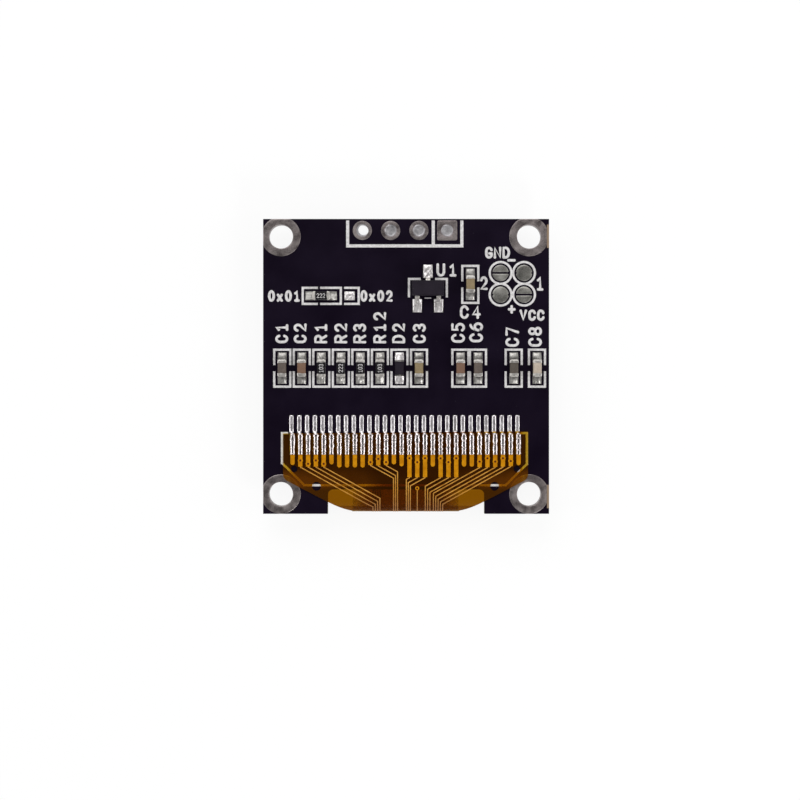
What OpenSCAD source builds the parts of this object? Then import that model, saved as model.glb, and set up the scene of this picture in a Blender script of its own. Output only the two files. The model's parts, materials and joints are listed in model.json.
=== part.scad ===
// Small OLED display module. It lies on its display glass with the component side up (+Z).
// The pin header edge points to +Y, the folded flex tail to -Y, and the origin is on the
// resting plane below the centre of the circuit board.

/* [Circuit board] */
// Board width, left to right
board_w = 25.7; // [25.4:0.1:28]
// Board height, flex edge to header edge
board_h = 26.5; // [26.3:0.1:28]
// Board thickness
board_t = 1.2; // [0.8:0.1:1.6]
// Inner corner radius left by the cutter in the flex notch
notch_r = 0.5; // [0.3:0.1:0.8]
// Width of the notch that the flex tail folds through
notch_w = 14.1; // [13.5:0.1:15]
// Copper and tin above both board faces and inside the holes
plate_t = 0.04; // [0.03:0.005:0.07]
// White legend ink above the board
ink_t = 0.02; // [0.01:0.005:0.025]
// Width of a printed legend line
ink_w = 0.2; // [0.15:0.01:0.24]
// Width of the broader lines round the header
header_ink_w = 0.28; // [0.2:0.01:0.32]

/* [Mounting holes] */
// Diameter of a plated mounting hole
hole_d = 2.16; // [1.9:0.02:2.4]
// Outer diameter of the plated ring round a mounting hole
ring_d = 3.56; // [3:0.02:3.8]
// Distance of a mounting hole from the board's side, before the pattern's small offset
hole_inset_x = 1.7; // [1.6:0.05:1.9]
// Distance of a mounting hole from the board's top or bottom edge, before the offset
hole_inset_y = 1.675; // [1.6:0.025:1.9]

/* [Pin header] */
// Pitch of the header holes
header_pitch = 2.54; // [2:0.01:2.6]
// Diameter of a plated header hole
header_hole_d = 1.1; // [0.9:0.02:1.2]
// Diameter of a round header pad, and a little less than the square one's side
header_pad_d = 1.72; // [1.6:0.02:1.9]
// Distance of the header row from the board's edge
header_inset = 1.03; // [1:0.01:1.3]
// Depth of the solder in the header holes below the board's faces
header_dip = 0.16; // [0.05:0.01:0.3]

/* [Chip parts] */
// Length of a chip capacitor or resistor
chip_l = 1.6; // [1.5:0.02:1.7]
// Width of a chip capacitor or resistor
chip_w = 0.8; // [0.7:0.02:0.85]
// Height of a chip capacitor
capacitor_h = 0.8; // [0.5:0.05:0.95]
// Height of a chip resistor
resistor_h = 0.45; // [0.35:0.01:0.6]
// Length of the metal at each end of a capacitor
capacitor_end = 0.33; // [0.25:0.01:0.45]
// Length of the metal at each end of a resistor
resistor_end = 0.28; // [0.2:0.01:0.4]
// Thickness of the metal on the ends
end_t = 0.025; // [0.015:0.005:0.04]
// Solder between a land and the part on it
solder_t = 0.02; // [0.01:0.005:0.04]
// Spacing of the eight parts in the left row
row_pitch = 1.755; // [1.7:0.005:1.8]

/* [Regulator and diode] */
// Length of the regulator's moulded body
regulator_l = 2.9; // [2.7:0.05:3]
// Width of the regulator's moulded body
regulator_w = 1.4; // [1.2:0.05:1.45]
// Height of the regulator above its lands
regulator_h = 1.1; // [0.9:0.05:1.3]
// Length of the diode's moulded body
diode_l = 1.2; // [1.1:0.02:1.3]
// Height of the diode above its lands
diode_h = 0.62; // [0.5:0.02:0.8]
// Draft of the moulded sides, in degrees
mould_draft = 7; // [3:1:10]

/* [Display glass] */
// Width of the glass
glass_w = 24.7; // [24:0.1:25.2]
// Height of the front glass, with its contact ledge
glass_h = 16.9; // [16.5:0.1:17.2]
// Thickness of the front glass
front_glass_t = 0.7; // [0.5:0.05:1]
// Thickness of the rear glass
rear_glass_t = 0.5; // [0.4:0.05:0.7]
// Depth of the contact ledge that the rear glass leaves bare
ledge_h = 2.2; // [2.1:0.05:2.5]
// Thickness of the polarizing film
polarizer_t = 0.2; // [0.1:0.02:0.3]
// Thickness of the foam tape between glass and board
tape_t = 0.47; // [0.4:0.01:0.8]
// Dark margin between the glass's side and the lit area
lit_margin_x = 1.48; // [1.3:0.02:2]
// Dark margin between the rear glass's edge and the lit area, above and below
lit_margin_y = 1.92; // [1.6:0.02:2.2]

/* [Flex tail] */
// Width of the flex tail where it is soldered
flex_w = 22; // [21.6:0.05:22.2]
// Width of the flex tail at the glass
neck_w = 9.6; // [9:0.1:10.5]
// Thickness of the polyimide film
film_t = 0.1; // [0.07:0.01:0.14]
// Copper thickness on the film
copper_t = 0.025; // [0.015:0.005:0.04]
// Pitch of the flex contacts
finger_pitch = 0.7; // [0.69:0.002:0.71]
// Width of a flex contact
finger_w = 0.38; // [0.32:0.01:0.42]
// Reach of the flex from the fold's outside to its soldered end
flex_reach = 7.05; // [6.9:0.05:7.2]
// Length of the tinned part of a contact
tinned_l = 1.92; // [1.7:0.02:2.1]
// Setback of the fold behind the board's edge
fold_inset = 0.17; // [0.1:0.01:0.3]
// Slope of the flex's shoulders, in degrees
shoulder_angle = 27.5; // [26:0.5:31]
// Slope of the slanted conductors, in degrees
fan_angle = 29; // [27:0.5:31]
// Width of a conductor
trace_w = 0.09; // [0.07:0.005:0.11]

/* [Hidden] */
$fn = 48;
cut = 1;                                     // overshoot of a cutting solid

// Levels, from the resting plane upwards
front_z = polarizer_t;                       // front face of the front glass
ledge_z = front_z + front_glass_t;           // rear face of the front glass
seal_t = 0.03;                               // glue line round the two glasses
rear_z = ledge_z + seal_t;                   // front face of the rear glass
tape_z = rear_z + rear_glass_t;
board_z = tape_z + tape_t;                   // display side of the board
board_top = board_z + board_t;               // component side of the board
land_top = board_top + plate_t;
part_z = land_top + solder_t;                // underside of a soldered part

// Mounting holes: the drilled pattern sits a little off the board's centre
hole_centre = [-0.1, 0.1];
ring_edge_gap = 0.22;                        // rings stop this short of the right edge
hole_span = [board_w - 2 * hole_inset_x, board_h - 2 * hole_inset_y];
function hole_at(i, j) = hole_centre + [(i - 0.5) * hole_span.x, (j - 0.5) * hole_span.y];

// Header row
header_count = 4;
header_centre_x = -0.12;
header_square = header_pad_d + 0.08;
header_y = board_h / 2 - header_inset;
function header_x(i) = header_centre_x + (i - (header_count - 1) / 2) * header_pitch;
bubble_at = 0.11 * header_hole_d * [1, 1];   // opening left in the first hole's solder
bubble_d = 0.82 * header_hole_d;

// Chip parts: lands and positions, [x, y, turn]
land_l = 0.85;
land_gap = 1.12;                             // bare board between a part's two lands
row_x = 1.72 - board_w / 2;                  // first part of the left row
row_y = -0.16;
function row(i) = [row_x + i * row_pitch, row_y, 0];
capacitor_at = [
    row(0), row(1), row(7), [4.88, row_y, 0], [6.46, row_y, 0], [9.67, row_y, 0],
    [11.76, row_y, 0], [5.77, header_y - 4.85, 0]
];
jumper_at = [-7.63, header_y - 5.88, 90];
resistor_at = [row(2), row(3), row(4), row(5), jumper_at];
diode_at = row(6);
spare_land_x = jumper_at.x + 2.55;           // bare third land of the address jumper
spare_land_l = 0.95;

// Regulator: three gull-wing leads, one above and two below the body
regulator_at = [1.96, header_y - 5.22];
body_gap = 0.08;                             // moulded body above its soldered feet
lead_w = 0.4;
lead_t = 0.12;
lead_pitch = 1.92;
lead_slope = 75;
lead_bend_r = 0.1;
lead_held_l = 0.25;                          // length of a lead inside the moulding
lead_shoulder_l = 0.03;                      // straight part outside it
foot_l = 0.3;
lead_rise = (regulator_h + body_gap - lead_t) / 2;
lead_drop = (lead_rise - 2 * lead_bend_r * (1 - cos(lead_slope))) / sin(lead_slope);
regulator_reach =                            // foot's tip, from the body's middle line
    regulator_w / 2 + lead_shoulder_l + 2 * lead_bend_r * sin(lead_slope)
    + lead_drop * cos(lead_slope) + foot_l;
regulator_land = [0.85, 1.22];
land_toe = 0.82;                             // land beyond a foot's tip
diode_lead = [0.32, 0.24];                   // width and length outside the body
diode_w = chip_w;

// Round solder jumpers: two pairs, two of the four split in halves
round_pad_r = 0.73;
round_y = [header_y - 3.82, header_y - 5.77];
round_at = [
    [8.49, round_y[0], true], [10.6, round_y[0], false],
    [8.49, round_y[1], false], [10.6, round_y[1], true]
];
split_w = 0.12;
round_ink_r = 0.98;

// Flex: contacts, film outline and fold
finger_count = 30;
land_centre_x = -0.15;
flex_centre_x = -0.05;
bond_t = copper_t + 0.005;                   // film above the ledge
film_lo = ledge_z + bond_t;                  // outside of the film below the board
film_hi = land_top + film_t;                 // outside of the film above the board
fold_r = (film_hi - film_lo) / 2;            // outer radius of the fold
fold_z = (film_hi + film_lo) / 2;
fold_y = -board_h / 2 + fold_inset + fold_r;
notch_relief = 0.86;                         // notch beyond the start of the fold
notch_depth = fold_inset + fold_r + notch_relief;
flex_end_y = -board_h / 2 + fold_inset + flex_reach;
tinned_y = flex_end_y - tinned_l;
flex_land_l = 1.65;                          // length of a land beyond the film
flex_land_top = flex_end_y + flex_land_l;
edge_dip = 0.6 * plate_t;                    // sink of the film's edge at the notch's side
edge_lead = fold_r * acos(1 - edge_dip / (fold_r - film_t)) * PI / 180;
notch_half = notch_w / 2 - abs(flex_centre_x);
shoulder_s = edge_lead - (flex_w / 2 - notch_half) * tan(shoulder_angle);
shoulder_y = fold_y - shoulder_s;
half_turn = PI * fold_r;                     // length of the fold along its outside
fold_steps = 24;                             // flats that the fold is drawn with
function fold_s(k) = half_turn * k / fold_steps;
trace_lift = 0.004;                          // adhesive between film and conductor
shoulder_r = 0.7;
locating_hole = [flex_w / 2 - 3, shoulder_y - 0.68, 0.4]; // x, y and radius, on both sides
tooling_hole = [flex_w / 2 - 1, shoulder_y + 0.88, 0.3];
via_r = 0.07;
via_pad_r = 0.23;

// Glass: the ledge lies under the flex's lower run
glass_y = fold_y + 2.62;                     // lower edge of the front glass
glass_top_y = glass_y + glass_h;
rear_y = glass_y + ledge_h;
seal_w = 1;
cavity_h = 0.25;                             // depth of the pocket in the rear glass
desiccant_t = 0.12;
oled_t = 0.02;
lit_y = (rear_y + glass_top_y) / 2;
lit_w = glass_w - 2 * lit_margin_x;
lit_h = glass_top_y - rear_y - 2 * lit_margin_y;
bond_l = 0.75;
driver = [6.8, 0.8, 0.3];
driver_y = rear_y - 0.3 - driver.y;
tape_inset = 1.2;

function finger_x(i) = flex_centre_x + (i - (finger_count - 1) / 2) * finger_pitch;
function land_x(i) = land_centre_x + (i - (finger_count - 1) / 2) * finger_pitch;

// Contacts: number, length below the tinned part, via's distance from it, place of the
// conductor in the fold. A via of 0 means none, and a contact that isn't listed is a blank.
routed = [
    [1, 1.05, 0.5, -2.98], [2, 1.05, 0.8, -2.77], [3, 1.05, 0.5, -2.56], [4, 1.05, 0.8, -2.35],
    [10, 0.9, 0.65, -1.13], [11, 0.95, 0.35, -0.95], [12, 0.9, 0.65, -0.77],
    [15, 2, 0.3, 0.02], [16, 2, 0.65, 0.2], [17, 2, 0.3, 0.38],
    [19, 2, 0.3, 1.72], [20, 2, 0.65, 1.93], [21, 2, 0.3, 2.14],
    [24, 1.1, 0.6, 2.45], [25, 1.1, 0.3, 2.66], [26, 1.08, 0.6, 2.87],
    [27, 1.05, 0.3, 3.08], [28, 1, 0.55, 3.29]
];
lone_via = [1, -10.95];                      // conductor that starts at a via of its own
lone_pad_r = 0.18;
blank_l = [0.9, 0.85, 1.13, 1.13, 1.13, 1.13, 0.85, 1.02, 1.05, 1.05, 1.05, 0.92];
routed_numbers = [for (t = routed) t[0]];
blanks = [for (i = [0:finger_count - 1]) if (len(search(i, routed_numbers)) == 0) i];

// ---- Shapes used by several pieces ----

module centred_box(size) {
    translate([-size.x / 2, -size.y / 2, 0]) cube(size);
}

module round_rect(size, r) {
    square([size.x - 2 * r, size.y], center = true);
    square([size.x, size.y - 2 * r], center = true);
    for (x = [-1, 1], y = [-1, 1])
        translate([x * (size.x / 2 - r), y * (size.y / 2 - r)]) circle(r);
}

// Block standing on z = 0 with its long edges and its end edges rounded
module soft_block(size, r) {
    translate([0, 0, size.z / 2])
        intersection() {
            rotate([90, 0, 0]) linear_extrude(size.y, center = true)
                round_rect([size.x, size.z], r);
            rotate([90, 0, 90]) linear_extrude(size.x, center = true)
                round_rect([size.y, size.z], r);
        }
}

// Sets a profile drawn in the Y-Z plane out by a width across X
module across(width) {
    rotate([90, 0, 90]) linear_extrude(width, center = true) children();
}

module place(at, z) {
    translate([at.x, at.y, z]) rotate(at.z) children();
}

// ---- Circuit board and its plating ----

module notch_shape() {
    translate([0, -board_h / 2 + notch_depth / 2]) round_rect([notch_w, notch_depth], notch_r);
    translate([-notch_w / 2, -board_h / 2 - cut]) square([notch_w, cut + notch_depth / 2]);
}

module circuit_board() {
    color("#17101f")
        difference() {
            translate([0, 0, board_z]) centred_box([board_w, board_h, board_t]);
            translate([0, 0, board_z - cut]) {
                linear_extrude(board_t + 2 * cut) notch_shape();
                for (i = [0, 1], j = [0, 1])
                    translate(hole_at(i, j)) cylinder(h = board_t + 2 * cut, d = hole_d + 2 * plate_t);
                for (i = [0:header_count - 1])
                    translate([header_x(i), header_y])
                        cylinder(h = board_t + 2 * cut, d = header_hole_d + 2 * plate_t);
            }
        }
}

// Rim on both faces and a barrel between them; the children give the rim's outline
module plated_hole(d) {
    difference() {
        union() {
            for (z = [board_z - plate_t, board_top])
                translate([0, 0, z]) linear_extrude(plate_t) children();
            translate([0, 0, board_z]) cylinder(h = board_t, d = d + 2 * plate_t);
        }
        translate([0, 0, board_z - cut]) cylinder(h = board_t + 2 * cut, d = d);
    }
}

module mounting_pads() {
    color("#8c8288")
        intersection() {
            for (i = [0, 1], j = [0, 1]) translate(hole_at(i, j)) plated_hole(hole_d) circle(d = ring_d);
            translate([-board_w / 2, -board_h / 2, 0]) cube([board_w - ring_edge_gap, board_h, land_top + cut]);
        }
}

module header_pads() {
    color("#8c8288")
        for (i = [0:header_count - 1])
            translate([header_x(i), header_y])
                plated_hole(header_hole_d)
                    if (i < header_count - 1) circle(d = header_pad_d);
                    else square(header_square, center = true);
}

// The header holes are closed with solder, but for a bubble through the first
module header_solder() {
    color("#8a8488")
        for (i = [0:header_count - 1])
            translate([header_x(i), header_y, board_z + header_dip])
                difference() {
                    cylinder(h = board_t - 2 * header_dip, d = header_hole_d);
                    if (i == 0)
                        translate([bubble_at.x, bubble_at.y, -cut])
                            cylinder(h = board_t + cut, d = bubble_d);
                }
}

module solder_jumper_pads() {
    color("#8c8288")
        for (p = round_at)
            translate([p.x, p.y, board_top])
                difference() {
                    cylinder(h = plate_t, r = round_pad_r);
                    if (p.z)
                        translate([-round_pad_r - cut, -split_w / 2, -cut])
                            cube([2 * (round_pad_r + cut), split_w, plate_t + 2 * cut]);
                }
}

module land_pair() {
    for (side = [-1, 1])
        translate([0, side * (land_gap + land_l) / 2, 0]) centred_box([chip_w, land_l, plate_t]);
}

module component_lands() {
    color("#c9c4c0") {
        for (p = concat(capacitor_at, resistor_at, [diode_at])) place(p, board_top) land_pair();
        translate([spare_land_x, jumper_at.y, board_top]) centred_box([spare_land_l, chip_w, plate_t]);
        regulator_feet()
            translate([0, regulator_reach + land_toe - regulator_land.y / 2, board_top])
                centred_box([regulator_land.x, regulator_land.y, plate_t]);
    }
}

module flex_lands() {
    color("#c9c4c0")
        for (i = [0:finger_count - 1])
            translate([land_x(i) - finger_w / 2, tinned_y, board_top])
                cube([finger_w, flex_land_top - tinned_y, plate_t]);
}

// ---- White legend ink: frames, rings and the flex outline ----

frame_w = 1.44;                              // printed frame, middle to middle of its lines
frame_h = 3.32;
frame_break = 0.55;                          // gap in the middle of each long side
header_side = 1.32;                          // printed line from a header hole's middle: beside
header_below = 1.39;                         // and below
header_divider = 1.25;                       // before the square pad's hole
jumper_divider = 1.76;                       // line between the resistor and the spare land
jumper_gap = 0.4;                            // gap in a long side of the jumper's frame
spare_side = 0.82;                           // frame's end, from the spare land's middle
regulator_clear = [0.25, 0.16];              // printed line from the moulded body
regulator_ink_gap = 0.32;                    // and from the side of the upper land
regulator_dash = 0.5;
flex_ring_clear = 0.27;                      // flex outline's slant from a mounting ring
flex_low = 4.65;                             // its lower line, from the film's end
flex_tick = 0.45;

// One straight printed line with square ends that reach half a line width past a and b
module ink_line(a, b, w = ink_w) {
    run = b - a;
    translate(a) rotate(atan2(run.y, run.x))
        translate([-w / 2, -w / 2]) square([norm(run) + w, w]);
}

// Half of a part's frame: the short side and two arms
module ink_bracket(w, h) {
    ink_line([-w / 2, h], [w / 2, h]);
    for (x = [-w / 2, w / 2]) ink_line([x, frame_break / 2 + ink_w / 2], [x, h]);
}

module part_frame() {
    for (turn = [0, 180]) rotate(turn) ink_bracket(frame_w, frame_h / 2);
}

module header_frame() {
    last = header_x(header_count - 1);
    low = header_y - header_below;
    ink_line([header_x(0) - header_side, low], [last + header_side, low], header_ink_w);
    for (x = [header_x(0) - header_side, last - header_divider, last + header_side])
        ink_line([x, low], [x, board_h / 2 - header_ink_w], header_ink_w);
}

module jumper_frame() {
    low_x = jumper_at.x - frame_h / 2;
    divider_x = jumper_at.x + jumper_divider;
    end_x = spare_land_x + spare_side;
    for (y = [-frame_w / 2, frame_w / 2]) translate([0, jumper_at.y + y]) {
        ink_line([low_x, 0], [jumper_at.x - jumper_gap, 0]);
        ink_line([jumper_at.x, 0], [divider_x, 0]);
        ink_line([divider_x + jumper_gap, 0], [end_x, 0]);
    }
    for (x = [low_x, divider_x, end_x])
        ink_line([x, jumper_at.y - frame_w / 2], [x, jumper_at.y + frame_w / 2]);
}

module regulator_frame() {
    top = regulator_w / 2 + regulator_clear.y;
    near = regulator_land.x / 2 + regulator_ink_gap;
    far = regulator_l / 2 + regulator_clear.x;
    translate(regulator_at) {
        for (side = [-1, 1]) {
            ink_line([side * near, top], [side * far, top]);
            ink_line([side * far, top], [side * far, -regulator_w / 2]);
        }
        ink_line([-regulator_dash / 2, -top], [regulator_dash / 2, -top], ink_w / 2);
    }
}

module round_pad_rings() {
    difference() {
        for (p = round_at)
            translate([p.x, p.y])
                difference() {
                    circle(round_ink_r + ink_w / 2);
                    circle(round_ink_r - ink_w / 2);
                }
        for (p = round_at) translate([p.x, p.y]) circle(round_ink_r - ink_w / 2);
    }
}

// Outline printed round the flex: its slants pass the mounting rings at 45 degrees
module flex_frame() {
    top = flex_end_y + ink_w / 6;
    low = flex_end_y - flex_low;
    reach = sqrt(2) * (ring_d / 2 + flex_ring_clear);
    for (i = [0, 1]) {
        side = 2 * i - 1;
        edge = land_centre_x + side * flex_w / 2;
        slant = reach + hole_at(i, 0).y - side * hole_at(i, 0).x;
        knee = slant + side * edge;
        ink_line([edge, top], [edge - side * flex_tick, top]);
        ink_line([edge, top], [edge, knee]);
        ink_line([edge, knee], [side * (low - slant), low]);
        ink_line([side * (low - slant), low], [land_centre_x, low]);
    }
}

module silkscreen() {
    color("white")
        translate([0, 0, board_top])
            linear_extrude(ink_t) {
                for (p = concat(capacitor_at, [diode_at], [for (i = [0:3]) resistor_at[i]]))
                    translate([p.x, p.y]) part_frame();
                header_frame();
                jumper_frame();
                regulator_frame();
                round_pad_rings();
                flex_frame();
            }
}

// ---- Chip capacitors, chip resistors, diode and regulator ----

edge_r = 0.05;                               // rounded edges of a chip

module chip_ends(size, end_l) {
    core = size - [2, 2, 2] * end_t;
    difference() {
        soft_block(size, edge_r + end_t);
        translate([0, 0, end_t]) soft_block(core, edge_r);
        translate([0, 0, -cut]) centred_box([size.x + 2 * cut, size.y - 2 * end_l, size.z + 2 * cut]);
    }
}

module capacitor_body(i) {
    color(i == 1 || i == 3 ? "#9a7357" : "#8f8574")
        place(capacitor_at[i], part_z + end_t)
            soft_block([chip_w, chip_l, capacitor_h] - [2, 2, 2] * end_t, edge_r);
}

module capacitor_ends(i) {
    color("#bdb7ae")
        place(capacitor_at[i], part_z) chip_ends([chip_w, chip_l, capacitor_h], capacitor_end);
}

module resistor_body(i) {
    color("#221f24")
        place(resistor_at[i], part_z + end_t)
            soft_block([chip_w, chip_l, resistor_h] - [2, 2, 2] * end_t, edge_r);
}

module resistor_ends(i) {
    color("#bdb7ae")
        place(resistor_at[i], part_z) chip_ends([chip_w, chip_l, resistor_h], resistor_end);
}

// Moulded body whose sides lean in above and below the parting plane at mid height
module moulded_body(w, l, h) {
    lean = h / 2 * tan(mould_draft);
    intersection() {
        rotate([90, 0, 0]) linear_extrude(l, center = true) moulded_profile(w, h, lean);
        across(w) moulded_profile(l, h, lean);
    }
}

module moulded_profile(w, h, lean) {
    polygon([
        [-w / 2 + lean, 0], [w / 2 - lean, 0], [w / 2, h / 2],
        [w / 2 - lean, h], [-w / 2 + lean, h], [-w / 2, h / 2]
    ]);
}

module diode_body() {
    difference() {
        color("#1b181d") place(diode_at, part_z) moulded_body(diode_w, diode_l, diode_h);
        diode_leads();
    }
}

module diode_leads() {
    inside = 0.2;                            // length of a lead held in the moulding
    color("#c2bdb8")
        place(diode_at, part_z)
            for (side = [-1, 1])
                translate([0, side * (diode_l / 2 + (diode_lead[1] - inside) / 2), 0])
                    centred_box([diode_lead[0], diode_lead[1] + inside, lead_t]);
}

// Repeats its children at the regulator's three lead places, +Y pointing away from the body
module regulator_feet() {
    translate(regulator_at) {
        children();
        for (x = [-lead_pitch / 2, lead_pitch / 2]) translate([x, 0]) rotate(180) children();
    }
}

module regulator_body() {
    difference() {
        color("#1d1a20")
            translate([regulator_at.x, regulator_at.y, part_z + body_gap])
                moulded_body(regulator_l, regulator_w, regulator_h - body_gap);
        regulator_leads();
    }
}

// One edge of a bent strip that starts along +X, without its first point. Each move is a
// straight length and the turn at its end, bent to radius r; side is the edge's distance to
// the left of the strip's middle line.
function strip(moves, side, r, at = [0, 0], dir = 0, k = 0) =
    let (
        ahead = [cos(dir), sin(dir)],
        left = [-ahead.y, ahead.x],
        turn = moves[k][1],
        hand = sign(turn),
        p = at + moves[k][0] * ahead,
        hub = p + r * hand * left
    )
    turn == 0 ? [p + side * left] :
    concat(
        [for (j = [0:4]) let (a = dir + turn * j / 4) hub + (r * hand - side) * [sin(a), -cos(a)]],
        strip(moves, side, r, hub + r * hand * [sin(dir + turn), -cos(dir + turn)], dir + turn, k + 1)
    );

// Gull-wing lead: out of the body at mid height, down, and flat on its land
module regulator_leads() {
    moves = [[lead_held_l + lead_shoulder_l, -lead_slope], [lead_drop, lead_slope], [foot_l, 0]];
    near = concat([[0, lead_t / 2]], strip(moves, lead_t / 2, lead_bend_r));
    far = concat([[0, -lead_t / 2]], strip(moves, -lead_t / 2, lead_bend_r));
    color("#c2bdb8")
        regulator_feet()
            translate([0, regulator_w / 2 - lead_held_l, part_z + lead_rise + lead_t / 2])
                across(lead_w)
                    polygon(concat(near, [for (j = [len(far) - 1:-1:0]) far[j]]));
}

// ---- Solder ----

// Hollow slope of solder, from a height at y = 0 down to the land's outer end
module solder_slope(width, reach, rise) {
    steps = 6;
    toe = solder_t;
    across(width)
        polygon(concat(
            [[0, 0], [reach, 0]],
            [for (j = [0:steps]) let (u = j / steps) [reach * (1 - u), toe + (rise - toe) * u * u]]
        ));
}

module end_solder(at, rise) {
    reach = land_gap / 2 + land_l - chip_l / 2;
    place(at, land_top)
        for (turn = [0, 180])
            rotate(turn) {
                translate([0, chip_l / 2, 0]) solder_slope(chip_w, reach, rise);
                translate([0, (land_gap + chip_l) / 4, 0])
                    centred_box([chip_w - 2 * end_t - 2 * edge_r, (chip_l - land_gap) / 2, solder_t]);
            }
}

// Solder at a flat lead's tip, with the film of it under the foot; y = 0 is the tip
module foot_solder(width, foot, toe) {
    solder_slope(width, toe, solder_t + lead_t);
    translate([0, -foot / 2, 0]) centred_box([lead_w, foot, solder_t]);
}

module solder_fillets() {
    diode_tip = diode_l / 2 + diode_lead[1];
    color("#cfcac6") {
        for (p = capacitor_at) end_solder(p, solder_t + 0.7 * capacitor_h);
        for (p = resistor_at) end_solder(p, solder_t + 0.8 * resistor_h);
        place(diode_at, land_top)
            for (turn = [0, 180])
                rotate(turn) translate([0, diode_tip, 0])
                    foot_solder(diode_w, diode_lead[1], land_gap / 2 + land_l - diode_tip);
        regulator_feet()
            translate([0, regulator_reach, land_top]) foot_solder(regulator_land.x, foot_l, land_toe);
        translate([spare_land_x, jumper_at.y, land_top])
            intersection() {
                centred_box([spare_land_l, chip_w, edge_r]);
                translate([0, 0, -2 * edge_r]) soft_block([spare_land_l, chip_w, 3 * edge_r], edge_r);
            }
    }
}

// ---- Display glass ----

module polarizer() {
    film_inset = 0.35;
    color("#2b2d33")
        translate([-glass_w / 2 + film_inset, rear_y + film_inset, 0])
            cube([glass_w - 2 * film_inset, glass_top_y - rear_y - 2 * film_inset, polarizer_t]);
}

module front_glass() {
    color("#8fa3a0")
        translate([-glass_w / 2, glass_y, front_z]) cube([glass_w, glass_h, front_glass_t]);
}

// Space inside the glue line, as a solid of a given height at z = 0
module inside_seal(h) {
    translate([-glass_w / 2 + seal_w, rear_y + seal_w, 0])
        cube([glass_w - 2 * seal_w, glass_top_y - rear_y - 2 * seal_w, h]);
}

module edge_seal() {
    color("#d8c98e")
        translate([0, 0, ledge_z])
            difference() {
                translate([-glass_w / 2, rear_y, 0]) cube([glass_w, glass_top_y - rear_y, seal_t]);
                translate([0, 0, -cut]) inside_seal(seal_t + 2 * cut);
            }
}

module oled_layer() {
    color("#3a3f4a")
        translate([0, lit_y, ledge_z]) centred_box([lit_w, lit_h, oled_t]);
}

module desiccant() {
    color("#e6e2d6")
        translate([0, lit_y, rear_z + cavity_h - desiccant_t])
            centred_box([lit_w - 2 * seal_w, lit_h - 2 * seal_w, desiccant_t]);
}

module rear_glass() {
    color("#9db0ad")
        difference() {
            translate([-glass_w / 2, rear_y, rear_z]) cube([glass_w, glass_top_y - rear_y, rear_glass_t]);
            translate([0, 0, rear_z - cut]) inside_seal(cavity_h + cut);
        }
}

module driver_chip() {
    color("#4a4c52")
        translate([0, driver_y + driver.y / 2, ledge_z]) centred_box(driver);
}

module foam_tape() {
    color("#2e2e30")
        translate([-glass_w / 2 + tape_inset, rear_y + tape_inset / 2, tape_z])
            cube([glass_w - 2 * tape_inset, glass_top_y - rear_y - tape_inset, tape_t]);
}

// ---- Flex tail ----

// Flat place on the film, [x, s], to its place in space. s runs along the film's outside
// from the start of the fold, and lift is the height above that outside.
function wrapped(p, lift) =
    let (a = min(max(p.y / fold_r, 0), PI) * 180 / PI, r = fold_r + lift)
    p.y <= 0 ? [p.x, fold_y - p.y, fold_z + r] :
    p.y >= half_turn ? [p.x, fold_y + p.y - half_turn, fold_z - r] :
    [p.x, fold_y - r * sin(a), fold_z + r * cos(a)];

// Half the film's width at s
function film_half(s) =
    max(neck_w / 2, flex_w / 2 - max(s - shoulder_s, 0) / tan(shoulder_angle));

// Solid between rings of four points each, in order along the strip
module ring_strip(rings) {
    n = len(rings);
    polyhedron(
        points = [for (ring = rings) each ring],
        faces = concat(
            [[3, 2, 1, 0]],
            [[4 * n - 4, 4 * n - 3, 4 * n - 2, 4 * n - 1]],
            [for (k = [0:n - 2], j = [0:3]) let (a = 4 * k + j, b = 4 * k + (j + 1) % 4) each [[a, b, b + 4], [a, b + 4, a + 4]]]
        )
    );
}

// The four corners of the strip at one place of its path: left and right, outside and inside
function ring(left, right, top, bottom) =
    [wrapped(left, top), wrapped(right, top), wrapped(right, bottom), wrapped(left, bottom)];

// Outline of the film above the board, with arcs at its shoulders
module film_outline() {
    half = flex_w / 2;
    turn = 90 - shoulder_angle;
    hub = [half - shoulder_r, shoulder_y + shoulder_r * tan(turn / 2)];
    right = concat(
        [[half, flex_end_y]],
        [for (j = [0:6]) let (a = -turn * j / 6) hub + shoulder_r * [cos(a), sin(a)]],
        [[film_half(0), fold_y]]
    );
    polygon(concat(right, [for (j = [len(right) - 1:-1:0]) [-right[j].x, right[j].y]]));
}

module flex_film() {
    lower_l = glass_y + bond_l - fold_y;
    color("#a86c10")
        translate([flex_centre_x, 0, 0]) {
            translate([0, 0, film_hi - film_t])
                linear_extrude(film_t)
                    difference() {
                        film_outline();
                        for (x = [-1, 1], h = [locating_hole, tooling_hole])
                            translate([x * h.x, h.y]) circle(h.z);
                    }
            ring_strip([
                for (k = [0:fold_steps])
                    let (s = fold_s(k), w = film_half(s)) ring([-w, s], [w, s], 0, -film_t)
            ]);
            translate([-neck_w / 2, fold_y, film_lo]) cube([neck_w, lower_l, film_t]);
        }
}

module flex_bond() {
    color("#6d6a50")
        translate([flex_centre_x - neck_w / 2, glass_y, ledge_z]) cube([neck_w, bond_l, bond_t]);
}

// One contact on the film: a strip with a round end, or a square end that a conductor leaves
module finger(x, low_y, round_end, via_y) {
    difference() {
        union() {
            translate([x - finger_w / 2, low_y]) square([finger_w, flex_end_y - low_y]);
            if (round_end) translate([x, low_y]) circle(d = finger_w);
            if (via_y != 0) translate([x, via_y]) circle(via_pad_r);
        }
        if (via_y != 0) translate([x, via_y]) circle(via_r);
    }
}

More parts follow.
